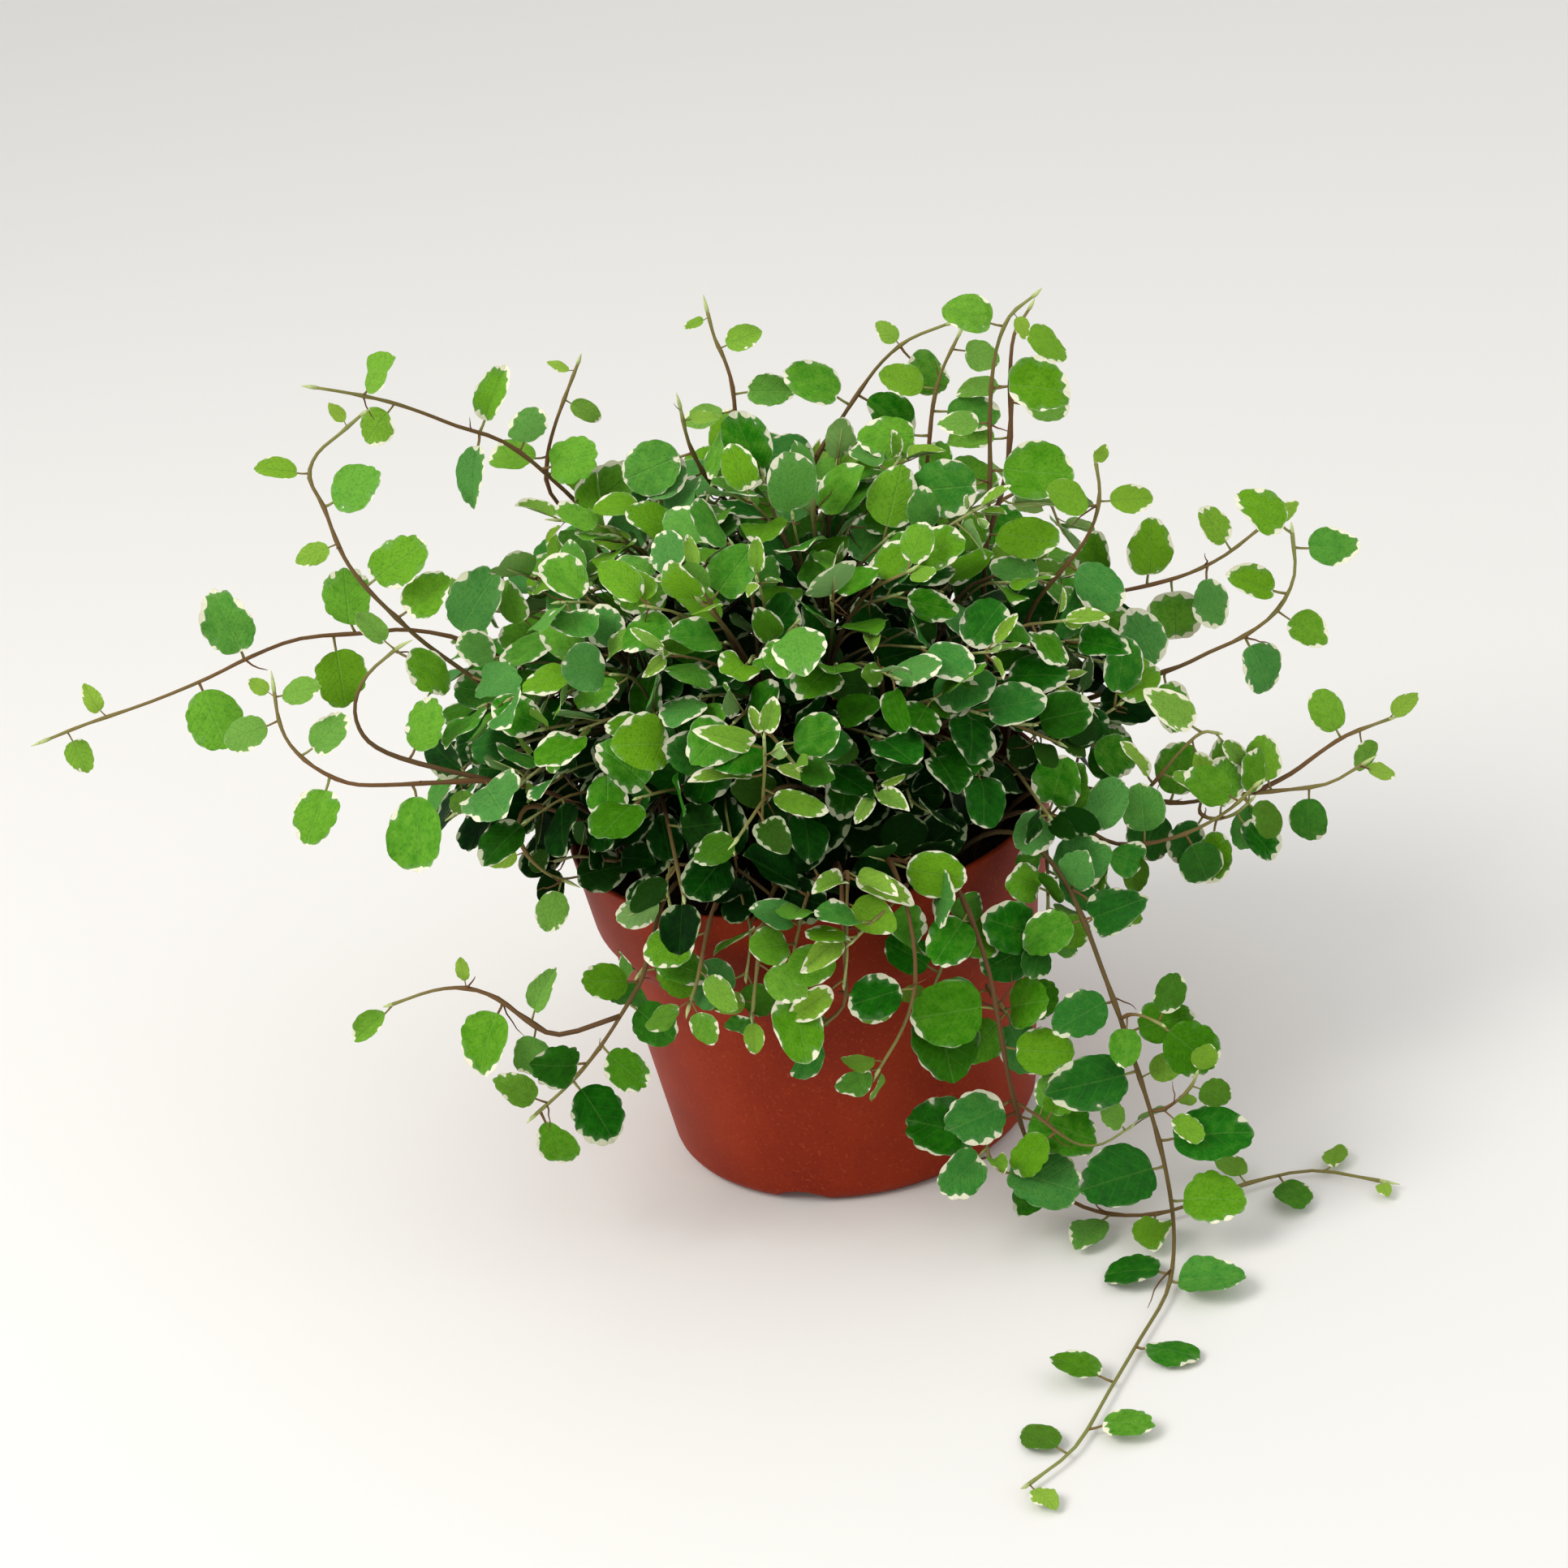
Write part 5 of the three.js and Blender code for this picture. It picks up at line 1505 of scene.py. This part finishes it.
def soil_body(settings):
    """The compost with an uneven top and loose crumbs on it, in millimetres"""
    dice = Dice(SOIL_SEED)
    foot = INNER_FOOT - SEAT_GAP
    waist = BODY_TOP_RADIUS - WALL - SEAT_GAP
    shoulder = COLLAR_FOOT_RADIUS - WALL - SEAT_GAP
    top = RIM_RADIUS - COLLAR_TAPER * (RIM_HEIGHT - SOIL_TOP) / COLLAR_HEIGHT - WALL - SEAT_GAP
    profile = [
        [0, FLOOR_THICKNESS + SEAT_GAP], [foot, FLOOR_THICKNESS + SEAT_GAP],
        [waist, STEP_FOOT], [shoulder, COLLAR_FOOT + 1],
        *([top * share, SOIL_TOP] for share in np.linspace(1, 0, SOIL_RINGS)),
    ]
    bm = turned(profile, SOIL_STEPS)
    for vert in bm.verts:
        if vert.co.z > SOIL_TOP - 0.1:
            far = math.hypot(vert.co.x, vert.co.y)
            rough = noise.fractal(vert.co * SOIL_BUMPS, 1.0, 2.0, 4)
            vert.co.z += (rough - 0.4) * settings.soil_relief / MM * min(1, (top - far) / 3)
    for face in bm.faces:
        face.smooth = True
    for _ in range(settings.crumbs):
        turn = dice.draw(0, 2 * math.pi)
        far = (top - 3) * math.sqrt(dice.draw(0, 1))
        size = dice.draw(*CRUMB_SIZES)
        place = Vector((math.cos(turn) * far, math.sin(turn) * far, SOIL_TOP + size * 0.3))
        lump = Matrix.Diagonal((size, size * dice.draw(0.6, 1), size * dice.draw(0.5, 0.9), 1))
        tilt = Matrix.Rotation(dice.draw(0, 6), 4, "X") @ Matrix.Rotation(dice.draw(0, 6), 4, "Y")
        laid = Matrix.Translation(place) @ tilt @ lump
        crumb = bmesh.ops.create_icosphere(bm, subdivisions=1, radius=1, matrix=laid)
        for vert in crumb["verts"]:
            vert.co += (vert.co - place) * (CRUMB_DENTS * noise.noise(vert.co * 1.3))
    return bm


def node(tree, kind, inputs=(), output=0, stops=(), **settings):
    """Adds a shader node with its settings, and its inputs as values or as sockets to link, and
    returns one of its outputs. A colour ramp also takes its stops, each a place and a colour."""
    made = tree.nodes.new("ShaderNode" + kind)
    for name, value in settings.items():
        setattr(made, name, value)
    for key, value in dict(inputs).items():
        socket = made.inputs[key]
        if isinstance(value, bpy.types.NodeSocket):
            tree.links.new(value, socket)
        else:
            socket.default_value = (*value, 1) if socket.type == "RGBA" else value
    for k, (place, colour) in enumerate(stops):
        element = made.color_ramp.elements[k] if k < 2 else made.color_ramp.elements.new(place)
        element.position = place
        element.color = (*colour, 1)
    return made.outputs[output] if len(made.outputs) else None


def new_tree(name):
    """A material of this name with an empty node tree, and the tree"""
    material = bpy.data.materials.new(name)
    material.use_nodes = True
    material.node_tree.nodes.clear()
    return material, material.node_tree


def plastic_material(settings):
    """Injection-moulded polypropylene, filled and dyed brick red: matt, with fine dark and pale
    grains in it and a faint cloudiness that the eye reads as recycled plastic"""
    material, tree = new_tree("moulded_terracotta_polypropylene")
    place = node(tree, "TexCoord", output="Object")
    cloud = node(tree, "TexNoise", {"Vector": place, "Scale": 1 / (CLOUD_SIZE * MM), "Detail": 3})
    grain = node(tree, "TexNoise", {
        "Vector": place, "Scale": 1 / (GRAIN_SIZE * MM), "Detail": 4, "Roughness": 0.7,
    })
    cell = node(tree, "TexVoronoi", {"Vector": place, "Scale": 1 / (SPECK_SIZE * MM)})
    colour = node(tree, "ValToRGB", {0: cloud}, stops=[
        (0.3, settings.dark), (0.7, settings.colour),
    ])
    pale = node(tree, "MapRange", {0: grain, 1: 0.56, 2: 0.72})
    dark = node(tree, "MapRange", {0: cell, 1: 0.1, 2: 0.22, 3: 0.35, 4: 0})
    for share, tint in [(pale, settings.grain), (dark, settings.speck)]:
        colour = node(tree, "Mix", {0: share, 6: colour, 7: tint}, 2, data_type="RGBA")
    height = node(tree, "Math", {0: cloud, 1: 2, 2: grain}, operation="MULTIPLY_ADD")
    bump = node(tree, "Bump", {"Height": height, "Strength": 0.35, "Distance": 0.15 * MM})
    rough = node(tree, "Math", {0: grain, 1: 0.18, 2: 0.44}, operation="MULTIPLY_ADD")
    shader = node(tree, "BsdfPrincipled", {
        "Base Color": colour, "Roughness": rough, "Normal": bump, "IOR": 1.49,
        "Specular IOR Level": 0.12,
    })
    node(tree, "OutputMaterial", {"Surface": shader})
    return material


def compost_material(settings):
    """Moist peat compost: crumbly, nearly black, with brown fibres and paler specks"""
    material, tree = new_tree("moist_peat_compost")
    place = node(tree, "TexCoord", output="Object")
    lump = node(tree, "TexNoise", {
        "Vector": place, "Scale": 1 / (LUMP_SIZE * MM), "Detail": 6, "Roughness": 0.7,
    })
    fibre = node(tree, "TexNoise", {
        "Vector": place, "Scale": 1 / (FIBRE_SIZE * MM), "Detail": 3, "Distortion": 2.5,
    })
    colour = node(tree, "ValToRGB", {0: lump}, stops=[
        (0.35, settings.soil), (0.75, settings.soil_dry),
    ])
    fibrous = node(tree, "MapRange", {0: fibre, 1: 0.62, 2: 0.7})
    colour = node(tree, "Mix", {0: fibrous, 6: colour, 7: settings.soil_fibre}, 2, data_type="RGBA")
    height = node(tree, "Math", {0: lump, 1: 2, 2: fibre}, operation="MULTIPLY_ADD")
    bump = node(tree, "Bump", {"Height": height, "Strength": 0.9, "Distance": 0.8 * MM})
    shader = node(tree, "BsdfPrincipled", {
        "Base Color": colour, "Roughness": 0.92, "Normal": bump, "IOR": 1.4,
        "Specular IOR Level": 0.2,
    })
    node(tree, "OutputMaterial", {"Surface": shader})
    return material


def blade_patterns(tree):
    """What both faces of a leaf share: its traits, the place on its disc, its veins and the mask
    of its cream margin, which fills the lobes of the edge in short runs. The disc's radius of 1
    is half a blade, about 7 mm, so a scale of 1.15 gives runs of about 6 mm."""
    traits = node(tree, "Attribute", output="Color", attribute_name=TRAITS)
    painted_light_and_tone, young, cream = node(tree, "SeparateColor", {0: traits}).node.outputs
    seed = traits.node.outputs["Alpha"]
    disc = node(tree, "UVMap", uv_map=LEAF_LAYER)
    centred = node(tree, "Mapping", {0: disc, 1: (-1, -1, 0), 3: (2, 2, 1)})
    along, sideways, _ = node(tree, "SeparateXYZ", {0: centred}).node.outputs
    across = node(tree, "Math", {0: sideways}, operation="ABSOLUTE")
    radius = node(tree, "VectorMath", {0: centred}, "Value", operation="LENGTH")
    far = node(tree, "CombineXYZ", {2: node(tree, "Math", {0: seed, 1: 97}, operation="MULTIPLY")})
    own = node(tree, "VectorMath", {0: centred, 1: far}, operation="ADD")

    spread = node(tree, "TexNoise", {"Vector": own, "Scale": 1.15, "Detail": 1})
    width = node(tree, "Math", {0: spread, 1: 1.7, 2: -1.03}, operation="MULTIPLY_ADD")
    width = node(tree, "Math", {0: cream, 1: 0.4, 2: width}, operation="MULTIPLY_ADD")
    width = node(tree, "Math", {0: along, 1: 0.06, 2: width}, operation="MULTIPLY_ADD")
    width = node(tree, "Math", {0: width, 1: 0.2}, operation="MINIMUM")
    angle = node(tree, "Math", {0: sideways, 1: along}, operation="ARCTAN2")
    turn = node(tree, "Math", {0: angle, 1: LOBES / 2}, operation="MULTIPLY")
    lobed = node(tree, "Math", {0: turn}, operation="COSINE")
    lobed = node(tree, "Math", {0: lobed}, operation="ABSOLUTE")
    scallop = node(tree, "MapRange", {0: lobed, 3: -0.11, 4: 0.025})
    reach = node(tree, "Math", {0: width, 1: scallop}, operation="ADD")
    ragged = node(tree, "TexNoise", {"Vector": own, "Scale": 4, "Detail": 1})
    reach = node(tree, "Math", {0: ragged, 1: 0.12, 2: reach}, operation="MULTIPLY_ADD")
    inwards = node(tree, "Math", {0: radius, 1: reach}, operation="ADD")
    run = node(tree, "MapRange", {0: width, 1: -0.01, 2: 0.03})
    blob = node(tree, "MapRange", {0: inwards, 1: 1.05, 2: 1.075})
    margin = node(tree, "Math", {0: run, 1: blob}, operation="MULTIPLY")
    thin = node(tree, "MapRange", {0: width, 1: -0.15, 2: 0.04, 4: 0.32})
    rim = node(tree, "MapRange", {0: radius, 1: 0.955, 2: 0.985})
    rim = node(tree, "Math", {0: rim, 1: thin}, operation="MULTIPLY")
    margin = node(tree, "Math", {0: margin, 1: rim}, operation="MAXIMUM")
    zone = node(tree, "MapRange", {0: inwards, 1: 0.85, 2: 1.05})

    slant = node(tree, "Math", {0: across, 1: -0.75, 2: along}, operation="MULTIPLY_ADD")
    rows = node(tree, "Math", {0: slant, 1: 9}, operation="MULTIPLY")
    rows = node(tree, "Math", {0: rows}, operation="SINE")
    rows = node(tree, "Math", {0: rows}, operation="ABSOLUTE")
    side_vein = node(tree, "MapRange", {0: rows, 1: 0.02, 2: 0.28, 3: 0.55, 4: 0})
    midrib = node(tree, "MapRange", {0: across, 1: 0.01, 2: 0.05, 3: 1, 4: 0})
    veins = node(tree, "Math", {0: midrib, 1: side_vein}, operation="MAXIMUM")
    return painted_light_and_tone, young, margin, zone, veins, own, seed


def leaf_material(settings, under):
    """The living blade of a small-leaved fig. The upper face is a soft waxy skin, green with
    crisp cream lobes along its margin and paler sunken veins. The underside is matt and paler,
    and its veins stand out. Both faces are painted darker deep in the mound, as shade, and lighter
    at its top, as sunlight."""
    material, tree = new_tree("fig_leaf_underside" if under else "fig_leaf_waxy_upper")
    painted_light_and_tone, young, margin, zone, veins, own, seed = blade_patterns(tree)
    mottle = node(tree, "TexNoise", {"Vector": own, "Scale": 2.6, "Detail": 4, "Roughness": 0.6})
    fine = node(tree, "TexNoise", {"Vector": own, "Scale": 12, "Detail": 3})
    # The green runs from painted shade through even light to painted sunlight, with the leaf's
    # mottling on top
    shade = node(tree, "Math", {0: mottle, 1: 0.9, 2: painted_light_and_tone}, operation="MULTIPLY_ADD")
    shade = node(tree, "Math", {0: shade, 1: 0.45}, operation="SUBTRACT")
    green = node(tree, "ValToRGB", {0: shade}, stops=[
        (0, settings.leaf_shade_and_speck), (0.45, settings.leaf), (1, settings.leaf_sunny),
    ])
    # The yellowish and bluish casts show only on leaves in painted light and fade out in painted
    # shade
    lit = node(tree, "MapRange", {0: painted_light_and_tone, 1: 0.15, 2: 0.7})
    warm = node(tree, "MapRange", {0: seed, 1: 0.6, 2: 0.9, 4: 0.65})
    cool = node(tree, "MapRange", {0: seed, 1: 0.1, 2: 0.4, 3: 0.7, 4: 0})
    tints = [
        (node(tree, "Math", {0: warm, 1: lit}, operation="MULTIPLY"), settings.leaf_warm),
        (node(tree, "Math", {0: cool, 1: lit}, operation="MULTIPLY"), settings.leaf_cool),
        (node(tree, "Math", {0: zone, 1: 0.35}, operation="MULTIPLY"), settings.leaf_grey),
        (young, settings.leaf_young),
        (node(tree, "Math", {0: veins, 1: 0.24}, operation="MULTIPLY"), settings.leaf_vein),
        (node(tree, "MapRange", {0: fine, 1: 0.48, 2: 0.72, 4: 0.35}), settings.leaf_shade_and_speck),
    ]
    if under:
        tints.append((0.45, settings.leaf_under))
    for share, tint in tints:
        green = node(tree, "Mix", {0: share, 6: green, 7: tint}, 2, data_type="RGBA")
    # Painted shade: the whole green is multiplied darker the less painted light the leaf has
    painted_shade_dim = node(tree, "ValToRGB", {0: painted_light_and_tone}, stops=[(0, settings.shade), (0.6, (1, 1, 1))])
    green = node(tree, "Mix", {0: 1, 6: green, 7: painted_shade_dim}, 2, data_type="RGBA", blend_type="MULTIPLY")
    # Painted shade on the cream margin too: it darkens towards the shaded cream deep in the mound
    cream = node(tree, "ValToRGB", {0: painted_light_and_tone}, stops=[
        (0, settings.cream_shade), (0.6, settings.cream),
    ])
    colour = node(tree, "Mix", {0: margin, 6: green, 7: cream}, 2, data_type="RGBA")
    raised = 1.2 if under else -1.2
    relief = node(tree, "Math", {0: veins, 1: raised, 2: mottle}, operation="MULTIPLY_ADD")
    relief = node(tree, "Math", {0: fine, 1: 0.35, 2: relief}, operation="MULTIPLY_ADD")
    bump = node(tree, "Bump", {"Height": relief, "Strength": 0.5, "Distance": 0.25 * MM})
    shader = node(tree, "BsdfPrincipled", {
        "Base Color": colour, "Roughness": 0.75 if under else 0.55, "Normal": bump, "IOR": 1.45,
        "Specular IOR Level": 0.03 if under else 0.05,
    })
    node(tree, "OutputMaterial", {"Surface": shader})
    return material


def bark_material(settings):
    """Young fig bark: taupe brown at the root, reddish half way and pale green where it still
    grows, with short dark streaks, and painted nearly black inside the mound, as the shade there"""
    material, tree = new_tree("young_fig_bark")
    traits = node(tree, "Attribute", output="Color", attribute_name=TRAITS)
    age, redness, painted_shade = node(tree, "SeparateColor", {0: traits}).node.outputs
    place = node(tree, "TexCoord", output="Object")
    streak = node(tree, "TexNoise", {"Vector": place, "Scale": 1 / (STREAK_SIZE * MM), "Detail": 4})
    shifted = node(tree, "Math", {0: streak, 1: 0.25, 2: age}, operation="MULTIPLY_ADD")
    shifted = node(tree, "Math", {0: shifted, 1: 0.125}, operation="SUBTRACT")
    colour = node(tree, "ValToRGB", {0: shifted}, stops=[
        (0, settings.bark_old), (0.6, settings.bark), (0.85, settings.bark_green),
        (1, settings.bud),
    ])
    grown_up = node(tree, "MapRange", {0: age, 1: 0.85, 2: 1.05, 3: 0.8, 4: 0})
    tints = [
        (node(tree, "Math", {0: redness, 1: grown_up}, operation="MULTIPLY"), settings.bark_red),
        (node(tree, "MapRange", {0: streak, 1: 0.5, 2: 0.7, 4: 0.35}), settings.bark_old),
        # Painted shade: the bark turns nearly black deep inside the mound
        (node(tree, "Math", {0: painted_shade, 1: 0.75}, operation="MULTIPLY"), settings.bark_painted_shade),
    ]
    for share, tint in tints:
        colour = node(tree, "Mix", {0: share, 6: colour, 7: tint}, 2, data_type="RGBA")
    bump = node(tree, "Bump", {"Height": streak, "Strength": 0.6, "Distance": 0.15 * MM})
    shader = node(tree, "BsdfPrincipled", {
        "Base Color": colour, "Roughness": 0.65, "Normal": bump, "IOR": 1.45,
        "Specular IOR Level": 0.2,
    })
    node(tree, "OutputMaterial", {"Surface": shader})
    return material


def paper_material(settings):
    """A studio's seamless paper: matt and almost white, with a faint tooth"""
    material, tree = new_tree("seamless_paper")
    place = node(tree, "TexCoord", output="Object")
    tooth = node(tree, "TexNoise", {"Vector": place, "Scale": 1 / (PAPER_TOOTH * MM), "Detail": 2})
    bump = node(tree, "Bump", {"Height": tooth, "Strength": 0.1, "Distance": 0.1 * MM})
    shader = node(tree, "BsdfPrincipled", {
        "Base Color": settings.floor, "Roughness": 0.9, "Normal": bump,
    })
    node(tree, "OutputMaterial", {"Surface": shader})
    return material


def colour_property(name, description, code):
    return bpy.props.FloatVectorProperty(
        name=name, description=description, default=linear(code), subtype="COLOR", min=0, max=1
    )


def length_property(name, description, size, low, high):
    return bpy.props.FloatProperty(
        name=name, description=description, default=size * MM, min=low * MM, max=high * MM,
        unit="LENGTH", subtype="DISTANCE", precision=5,
    )


def count_property(name, description, count, low, high):
    return bpy.props.IntProperty(
        name=name, description=description, default=count, min=low, max=high
    )


def power_property(name, description, power, high):
    return bpy.props.FloatProperty(
        name=name, description=description, default=power, min=0, max=high, unit="POWER"
    )


class FigPotSettings(bpy.types.PropertyGroup):
    """Sizes and colours of the pot and its compost"""

    colour: colour_property("Plastic", "The pot's main brick red", "#942D0E")
    dark: colour_property("Plastic, dark", "The darker clouds in the pot's plastic", "#802208")
    grain: colour_property("Grain", "Pale grains in the plastic", "#A2451F")
    speck: colour_property("Specks", "Dark specks in the plastic", "#4A170C")
    lip: length_property("Lip rounding", "How far the rim's edges are rounded", 0.7, 0.2, 0.75)
    turning_steps: count_property("Sides", "How many flat sides the turned pot has", 144, 48, 256)
    soil: colour_property("Compost", "Moist compost", "#1B120C")
    soil_dry: colour_property("Compost, dry", "The drier tops of the crumbs", "#3A281B")
    soil_fibre: colour_property("Fibres", "Peat fibres", "#5A4028")
    soil_relief: length_property("Compost relief", "How uneven the compost's top is", 3, 0, 5)
    crumbs: count_property("Crumbs", "How many loose crumbs lie on the compost", 260, 0, 600)


class FigPlantSettings(bpy.types.PropertyGroup):
    """Colours of the leaves and bark, and how thick the stems are"""

    # The leaf green in even light, a copy painted in shade for leaves deep in the mound, which also
    # gives every leaf its dark specks, and a copy painted in sunlight for leaves at the mound's top
    leaf: colour_property("Leaf", "A full-grown leaf in even light", "#22780A")
    leaf_shade_and_speck: colour_property("Leaf, shaded", "A leaf deep inside the mound", "#034203")
    leaf_sunny: colour_property("Leaf, sunny", "A leaf at the top of the mound", "#6AA630")
    leaf_grey: colour_property("Leaf, grey", "The greyish green beside a cream margin", "#79A268")
    leaf_young: colour_property("Young leaf", "A leaf that still grows", "#90B440")
    leaf_vein: colour_property("Veins", "The midrib and side veins", "#7DB052")
    leaf_under: colour_property("Underside", "The paler lower face of a leaf", "#9DBB7E")
    leaf_warm: colour_property("Leaf, yellowish", "A leaf with a yellowish cast", "#6E9E10")
    leaf_cool: colour_property("Leaf, bluish", "A leaf with a bluish waxy cast", "#4C8A4A")
    cream: colour_property("Cream margin", "The creamy parts of a leaf", "#ECEACD")
    # Painted shade: the cream margin's darker copy and the colour that dims whole leaves deep inside
    # the mound
    cream_shade: colour_property("Cream, shaded", "A cream margin deep inside the mound", "#7E8E66")
    shade: colour_property("Shade", "What dims a leaf deep inside the mound", "#2A6C20")
    bark_old: colour_property("Old bark", "The stem near its root", "#524327")
    bark: colour_property("Bark", "The stem half way", "#6E5A33")
    bark_red: colour_property("Red bark", "The blush on some stems and stalks", "#74402C")
    # Painted shade: the colour of the stems deep inside the mound
    bark_painted_shade: colour_property("Bark, painted shade", "The stems inside the mound", "#171A0C")
    bark_green: colour_property("Green bark", "The stem near its tip", "#8B9450")
    bud: colour_property("Bud", "Buds and the youngest growth", "#BCCB86")
    stem_radius: length_property("Stem radius", "A stem's radius at its root", 0.66, 0.4, 1.15)
    stem_tip_radius: length_property("Tip radius", "A stem's radius at its tip", 0.36, 0.2, 0.8)
    twig_radius: length_property("Side shoot radius", "A side shoot's radius", 0.42, 0.2, 0.9)
    stem_sides: count_property("Stem sides", "How many sides a stem has", 8, 5, 16)


class FigStageSettings(bpy.types.PropertyGroup):
    """The floor's colour and how bright the lights are"""

    floor: colour_property("Floor", "The seamless paper under the plant", "#ECEAE6")
    key: power_property("Key light", "The power of the large light at the upper left", 11, 200)
    fill: power_property("Fill light", "The power of the soft light at the right", 3, 200)
    ceiling: power_property("Ceiling light", "The power of the wide light overhead", 20, 600)
    sky: bpy.props.FloatProperty(
        name="Room light", description="How bright the room is all round", default=0.66,
        min=0, max=5,
    )


kept = {}


def once(key, make, *given):
    """What make gives, made at the first call and kept for the operators that follow"""
    if key not in kept:
        kept[key] = make(*given)
    return kept[key]


def plant_materials(settings):
    """The materials of a plant's piece, in the order of its faces' numbers"""
    return [leaf_material(settings, False), leaf_material(settings, True), bark_material(settings)]


def build_plants(context, names):
    """Makes the named plants' pieces"""
    settings = context.scene.fig_plant
    template = once("blade", blade_template)
    for plant in once("plants", grow_plants):
        if plant.name in names:
            dice = Dice(LOOKS_SEED + LOOKS_SEED_STEP * plant.owner)
            bm = grow_piece(plant, dice, template, settings)
            materials = once("materials", plant_materials, settings)
            keep(bm, f"{plant.name}_grown", materials, plant.name)


class FIG_OT_pot(bpy.types.Operator):
    """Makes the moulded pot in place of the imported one"""

    bl_idname = "fig.pot"
    bl_label = "Pot"

    def execute(self, context):
        settings = context.scene.fig_pot
        bm = pot_body(settings)
        bmesh.ops.scale(bm, vec=(MM, MM, MM), verts=bm.verts)
        mesh = cut(bm, pot_cutters())
        mesh.name = "pot_moulded"
        mesh.shade_smooth()
        mesh.set_sharp_from_angle(angle=SHARP_ANGLE * DEGREE)
        mesh.materials.append(plastic_material(settings))
        keep_mesh(mesh, "pot_moulded", "pot")
        return {"FINISHED"}


class FIG_OT_soil(bpy.types.Operator):
    """Makes the compost and the crumbs on it in place of the packed soil"""

    bl_idname = "fig.soil"
    bl_label = "Compost"

    def execute(self, context):
        settings = context.scene.fig_pot
        bm = soil_body(settings)
        bmesh.ops.scale(bm, vec=(MM, MM, MM), verts=bm.verts)
        keep(bm, "soil_crumbly", [compost_material(settings)], "soil")
        return {"FINISHED"}


class FIG_OT_runners(bpy.types.Operator):
    """Grows the long runners and sprigs that stand clear of the mound"""

    bl_idname = "fig.runners"
    bl_label = "Runners and sprigs"

    def execute(self, context):
        build_plants(context, RUNNERS)
        return {"FINISHED"}


class FIG_OT_hanging(bpy.types.Operator):
    """Grows the short stems that hang over the rim"""

    bl_idname = "fig.hanging"
    bl_label = "Hanging stems"

    def execute(self, context):
        build_plants(context, HANGING)
        return {"FINISHED"}


class FIG_OT_mound(bpy.types.Operator):
    """Grows the dense mound in the middle"""

    bl_idname = "fig.mound"
    bl_label = "Mound"

    def execute(self, context):
        build_plants(context, [f"mound_stem_{i + 1}" for i in range(MOUND_STEMS)])
        return {"FINISHED"}


class FIG_OT_stage(bpy.types.Operator):
    """Lays the floor, hangs the lights and stands the camera at the photograph's angle"""

    bl_idname = "fig.stage"
    bl_label = "Stage"

    def execute(self, context):
        settings = context.scene.fig_stage
        scene = context.scene
        bm = bmesh.new()
        bmesh.ops.create_circle(bm, cap_ends=True, segments=FLOOR_SIDES, radius=FLOOR_RADIUS)
        mesh = bpy.data.meshes.new("floor")
        bm.to_mesh(mesh)
        bm.free()
        mesh.materials.append(paper_material(settings))
        floor = bpy.data.objects.new("floor", mesh)
        scene.collection.objects.link(floor)
        for name, (size, place, colour) in LIGHTS.items():
            light = bpy.data.lights.new(name, "AREA")
            light.shape = "DISK"
            light.size = size
            light.energy = getattr(settings, name)
            light.color = colour
            lamp = bpy.data.objects.new(name, light)
            lamp.location = place
            lamp.visible_camera = False
            aim = CAMERA_TARGET - Vector(place)
            lamp.rotation_euler = aim.to_track_quat("-Z", "Y").to_euler()
            scene.collection.objects.link(lamp)
        world = bpy.data.worlds.new("studio_room")
        world.use_nodes = True
        background = world.node_tree.nodes["Background"]
        background.inputs["Color"].default_value = (1, 1, 1, 1)
        background.inputs["Strength"].default_value = settings.sky
        scene.world = world
        scene.view_settings.view_transform = "Standard"
        stand_camera(scene)
        return {"FINISHED"}


def stand_camera(scene):
    """The camera looks along the pot's front, from above, rolled as the photograph is"""
    rise = CAMERA_ELEVATION * DEGREE
    roll = CAMERA_ROLL * DEGREE
    forward = Vector((0, math.cos(rise), -math.sin(rise)))
    level = Vector((1, 0, 0))
    upright = Vector((0, math.sin(rise), math.cos(rise)))
    right = level * math.cos(roll) - upright * math.sin(roll)
    above = level * math.sin(roll) + upright * math.cos(roll)
    lens = bpy.data.cameras.new("camera")
    lens.lens = CAMERA_LENS
    lens.sensor_width = SENSOR_WIDTH
    camera = bpy.data.objects.new("camera", lens)
    camera.matrix_world = Matrix((right, above, -forward)).transposed().to_4x4()
    camera.location = CAMERA_TARGET - forward * CAMERA_DISTANCE
    scene.collection.objects.link(camera)
    scene.camera = camera


class FIG_PT_panel(bpy.types.Panel):
    """Lists the fig's pieces and their settings"""

    bl_idname = "FIG_PT_panel"
    bl_label = "Creeping fig"
    bl_space_type = "VIEW_3D"
    bl_region_type = "UI"
    bl_category = "Creeping fig"

    def draw(self, context):
        layout = self.layout
        for step_name in STEPS:
            layout.operator(f"fig.{step_name}")
        for name, kind in SETTINGS.items():
            box = layout.box()
            for field in kind.__annotations__:
                box.prop(getattr(context.scene, name), field)


STEPS = ["pot", "soil", "runners", "hanging", "mound", "stage"]
SETTINGS = {"fig_pot": FigPotSettings, "fig_plant": FigPlantSettings, "fig_stage": FigStageSettings}
CLASSES = [
    *SETTINGS.values(), FIG_OT_pot, FIG_OT_soil, FIG_OT_runners, FIG_OT_hanging, FIG_OT_mound,
    FIG_OT_stage, FIG_PT_panel,
]


def register():
    """Adds the operators, the panel and the scene's settings to Blender"""
    for kind in CLASSES:
        bpy.utils.register_class(kind)
    for name, kind in SETTINGS.items():
        setattr(bpy.types.Scene, name, bpy.props.PointerProperty(type=kind))


def unregister():
    """Takes them away again"""
    for name in SETTINGS:
        delattr(bpy.types.Scene, name)
    for kind in reversed(CLASSES):
        bpy.utils.unregister_class(kind)


def main():
    """Builds the whole fig"""
    register()
    for step_name in STEPS:
        getattr(bpy.ops.fig, step_name)()


if __name__ == "__main__":
    main()
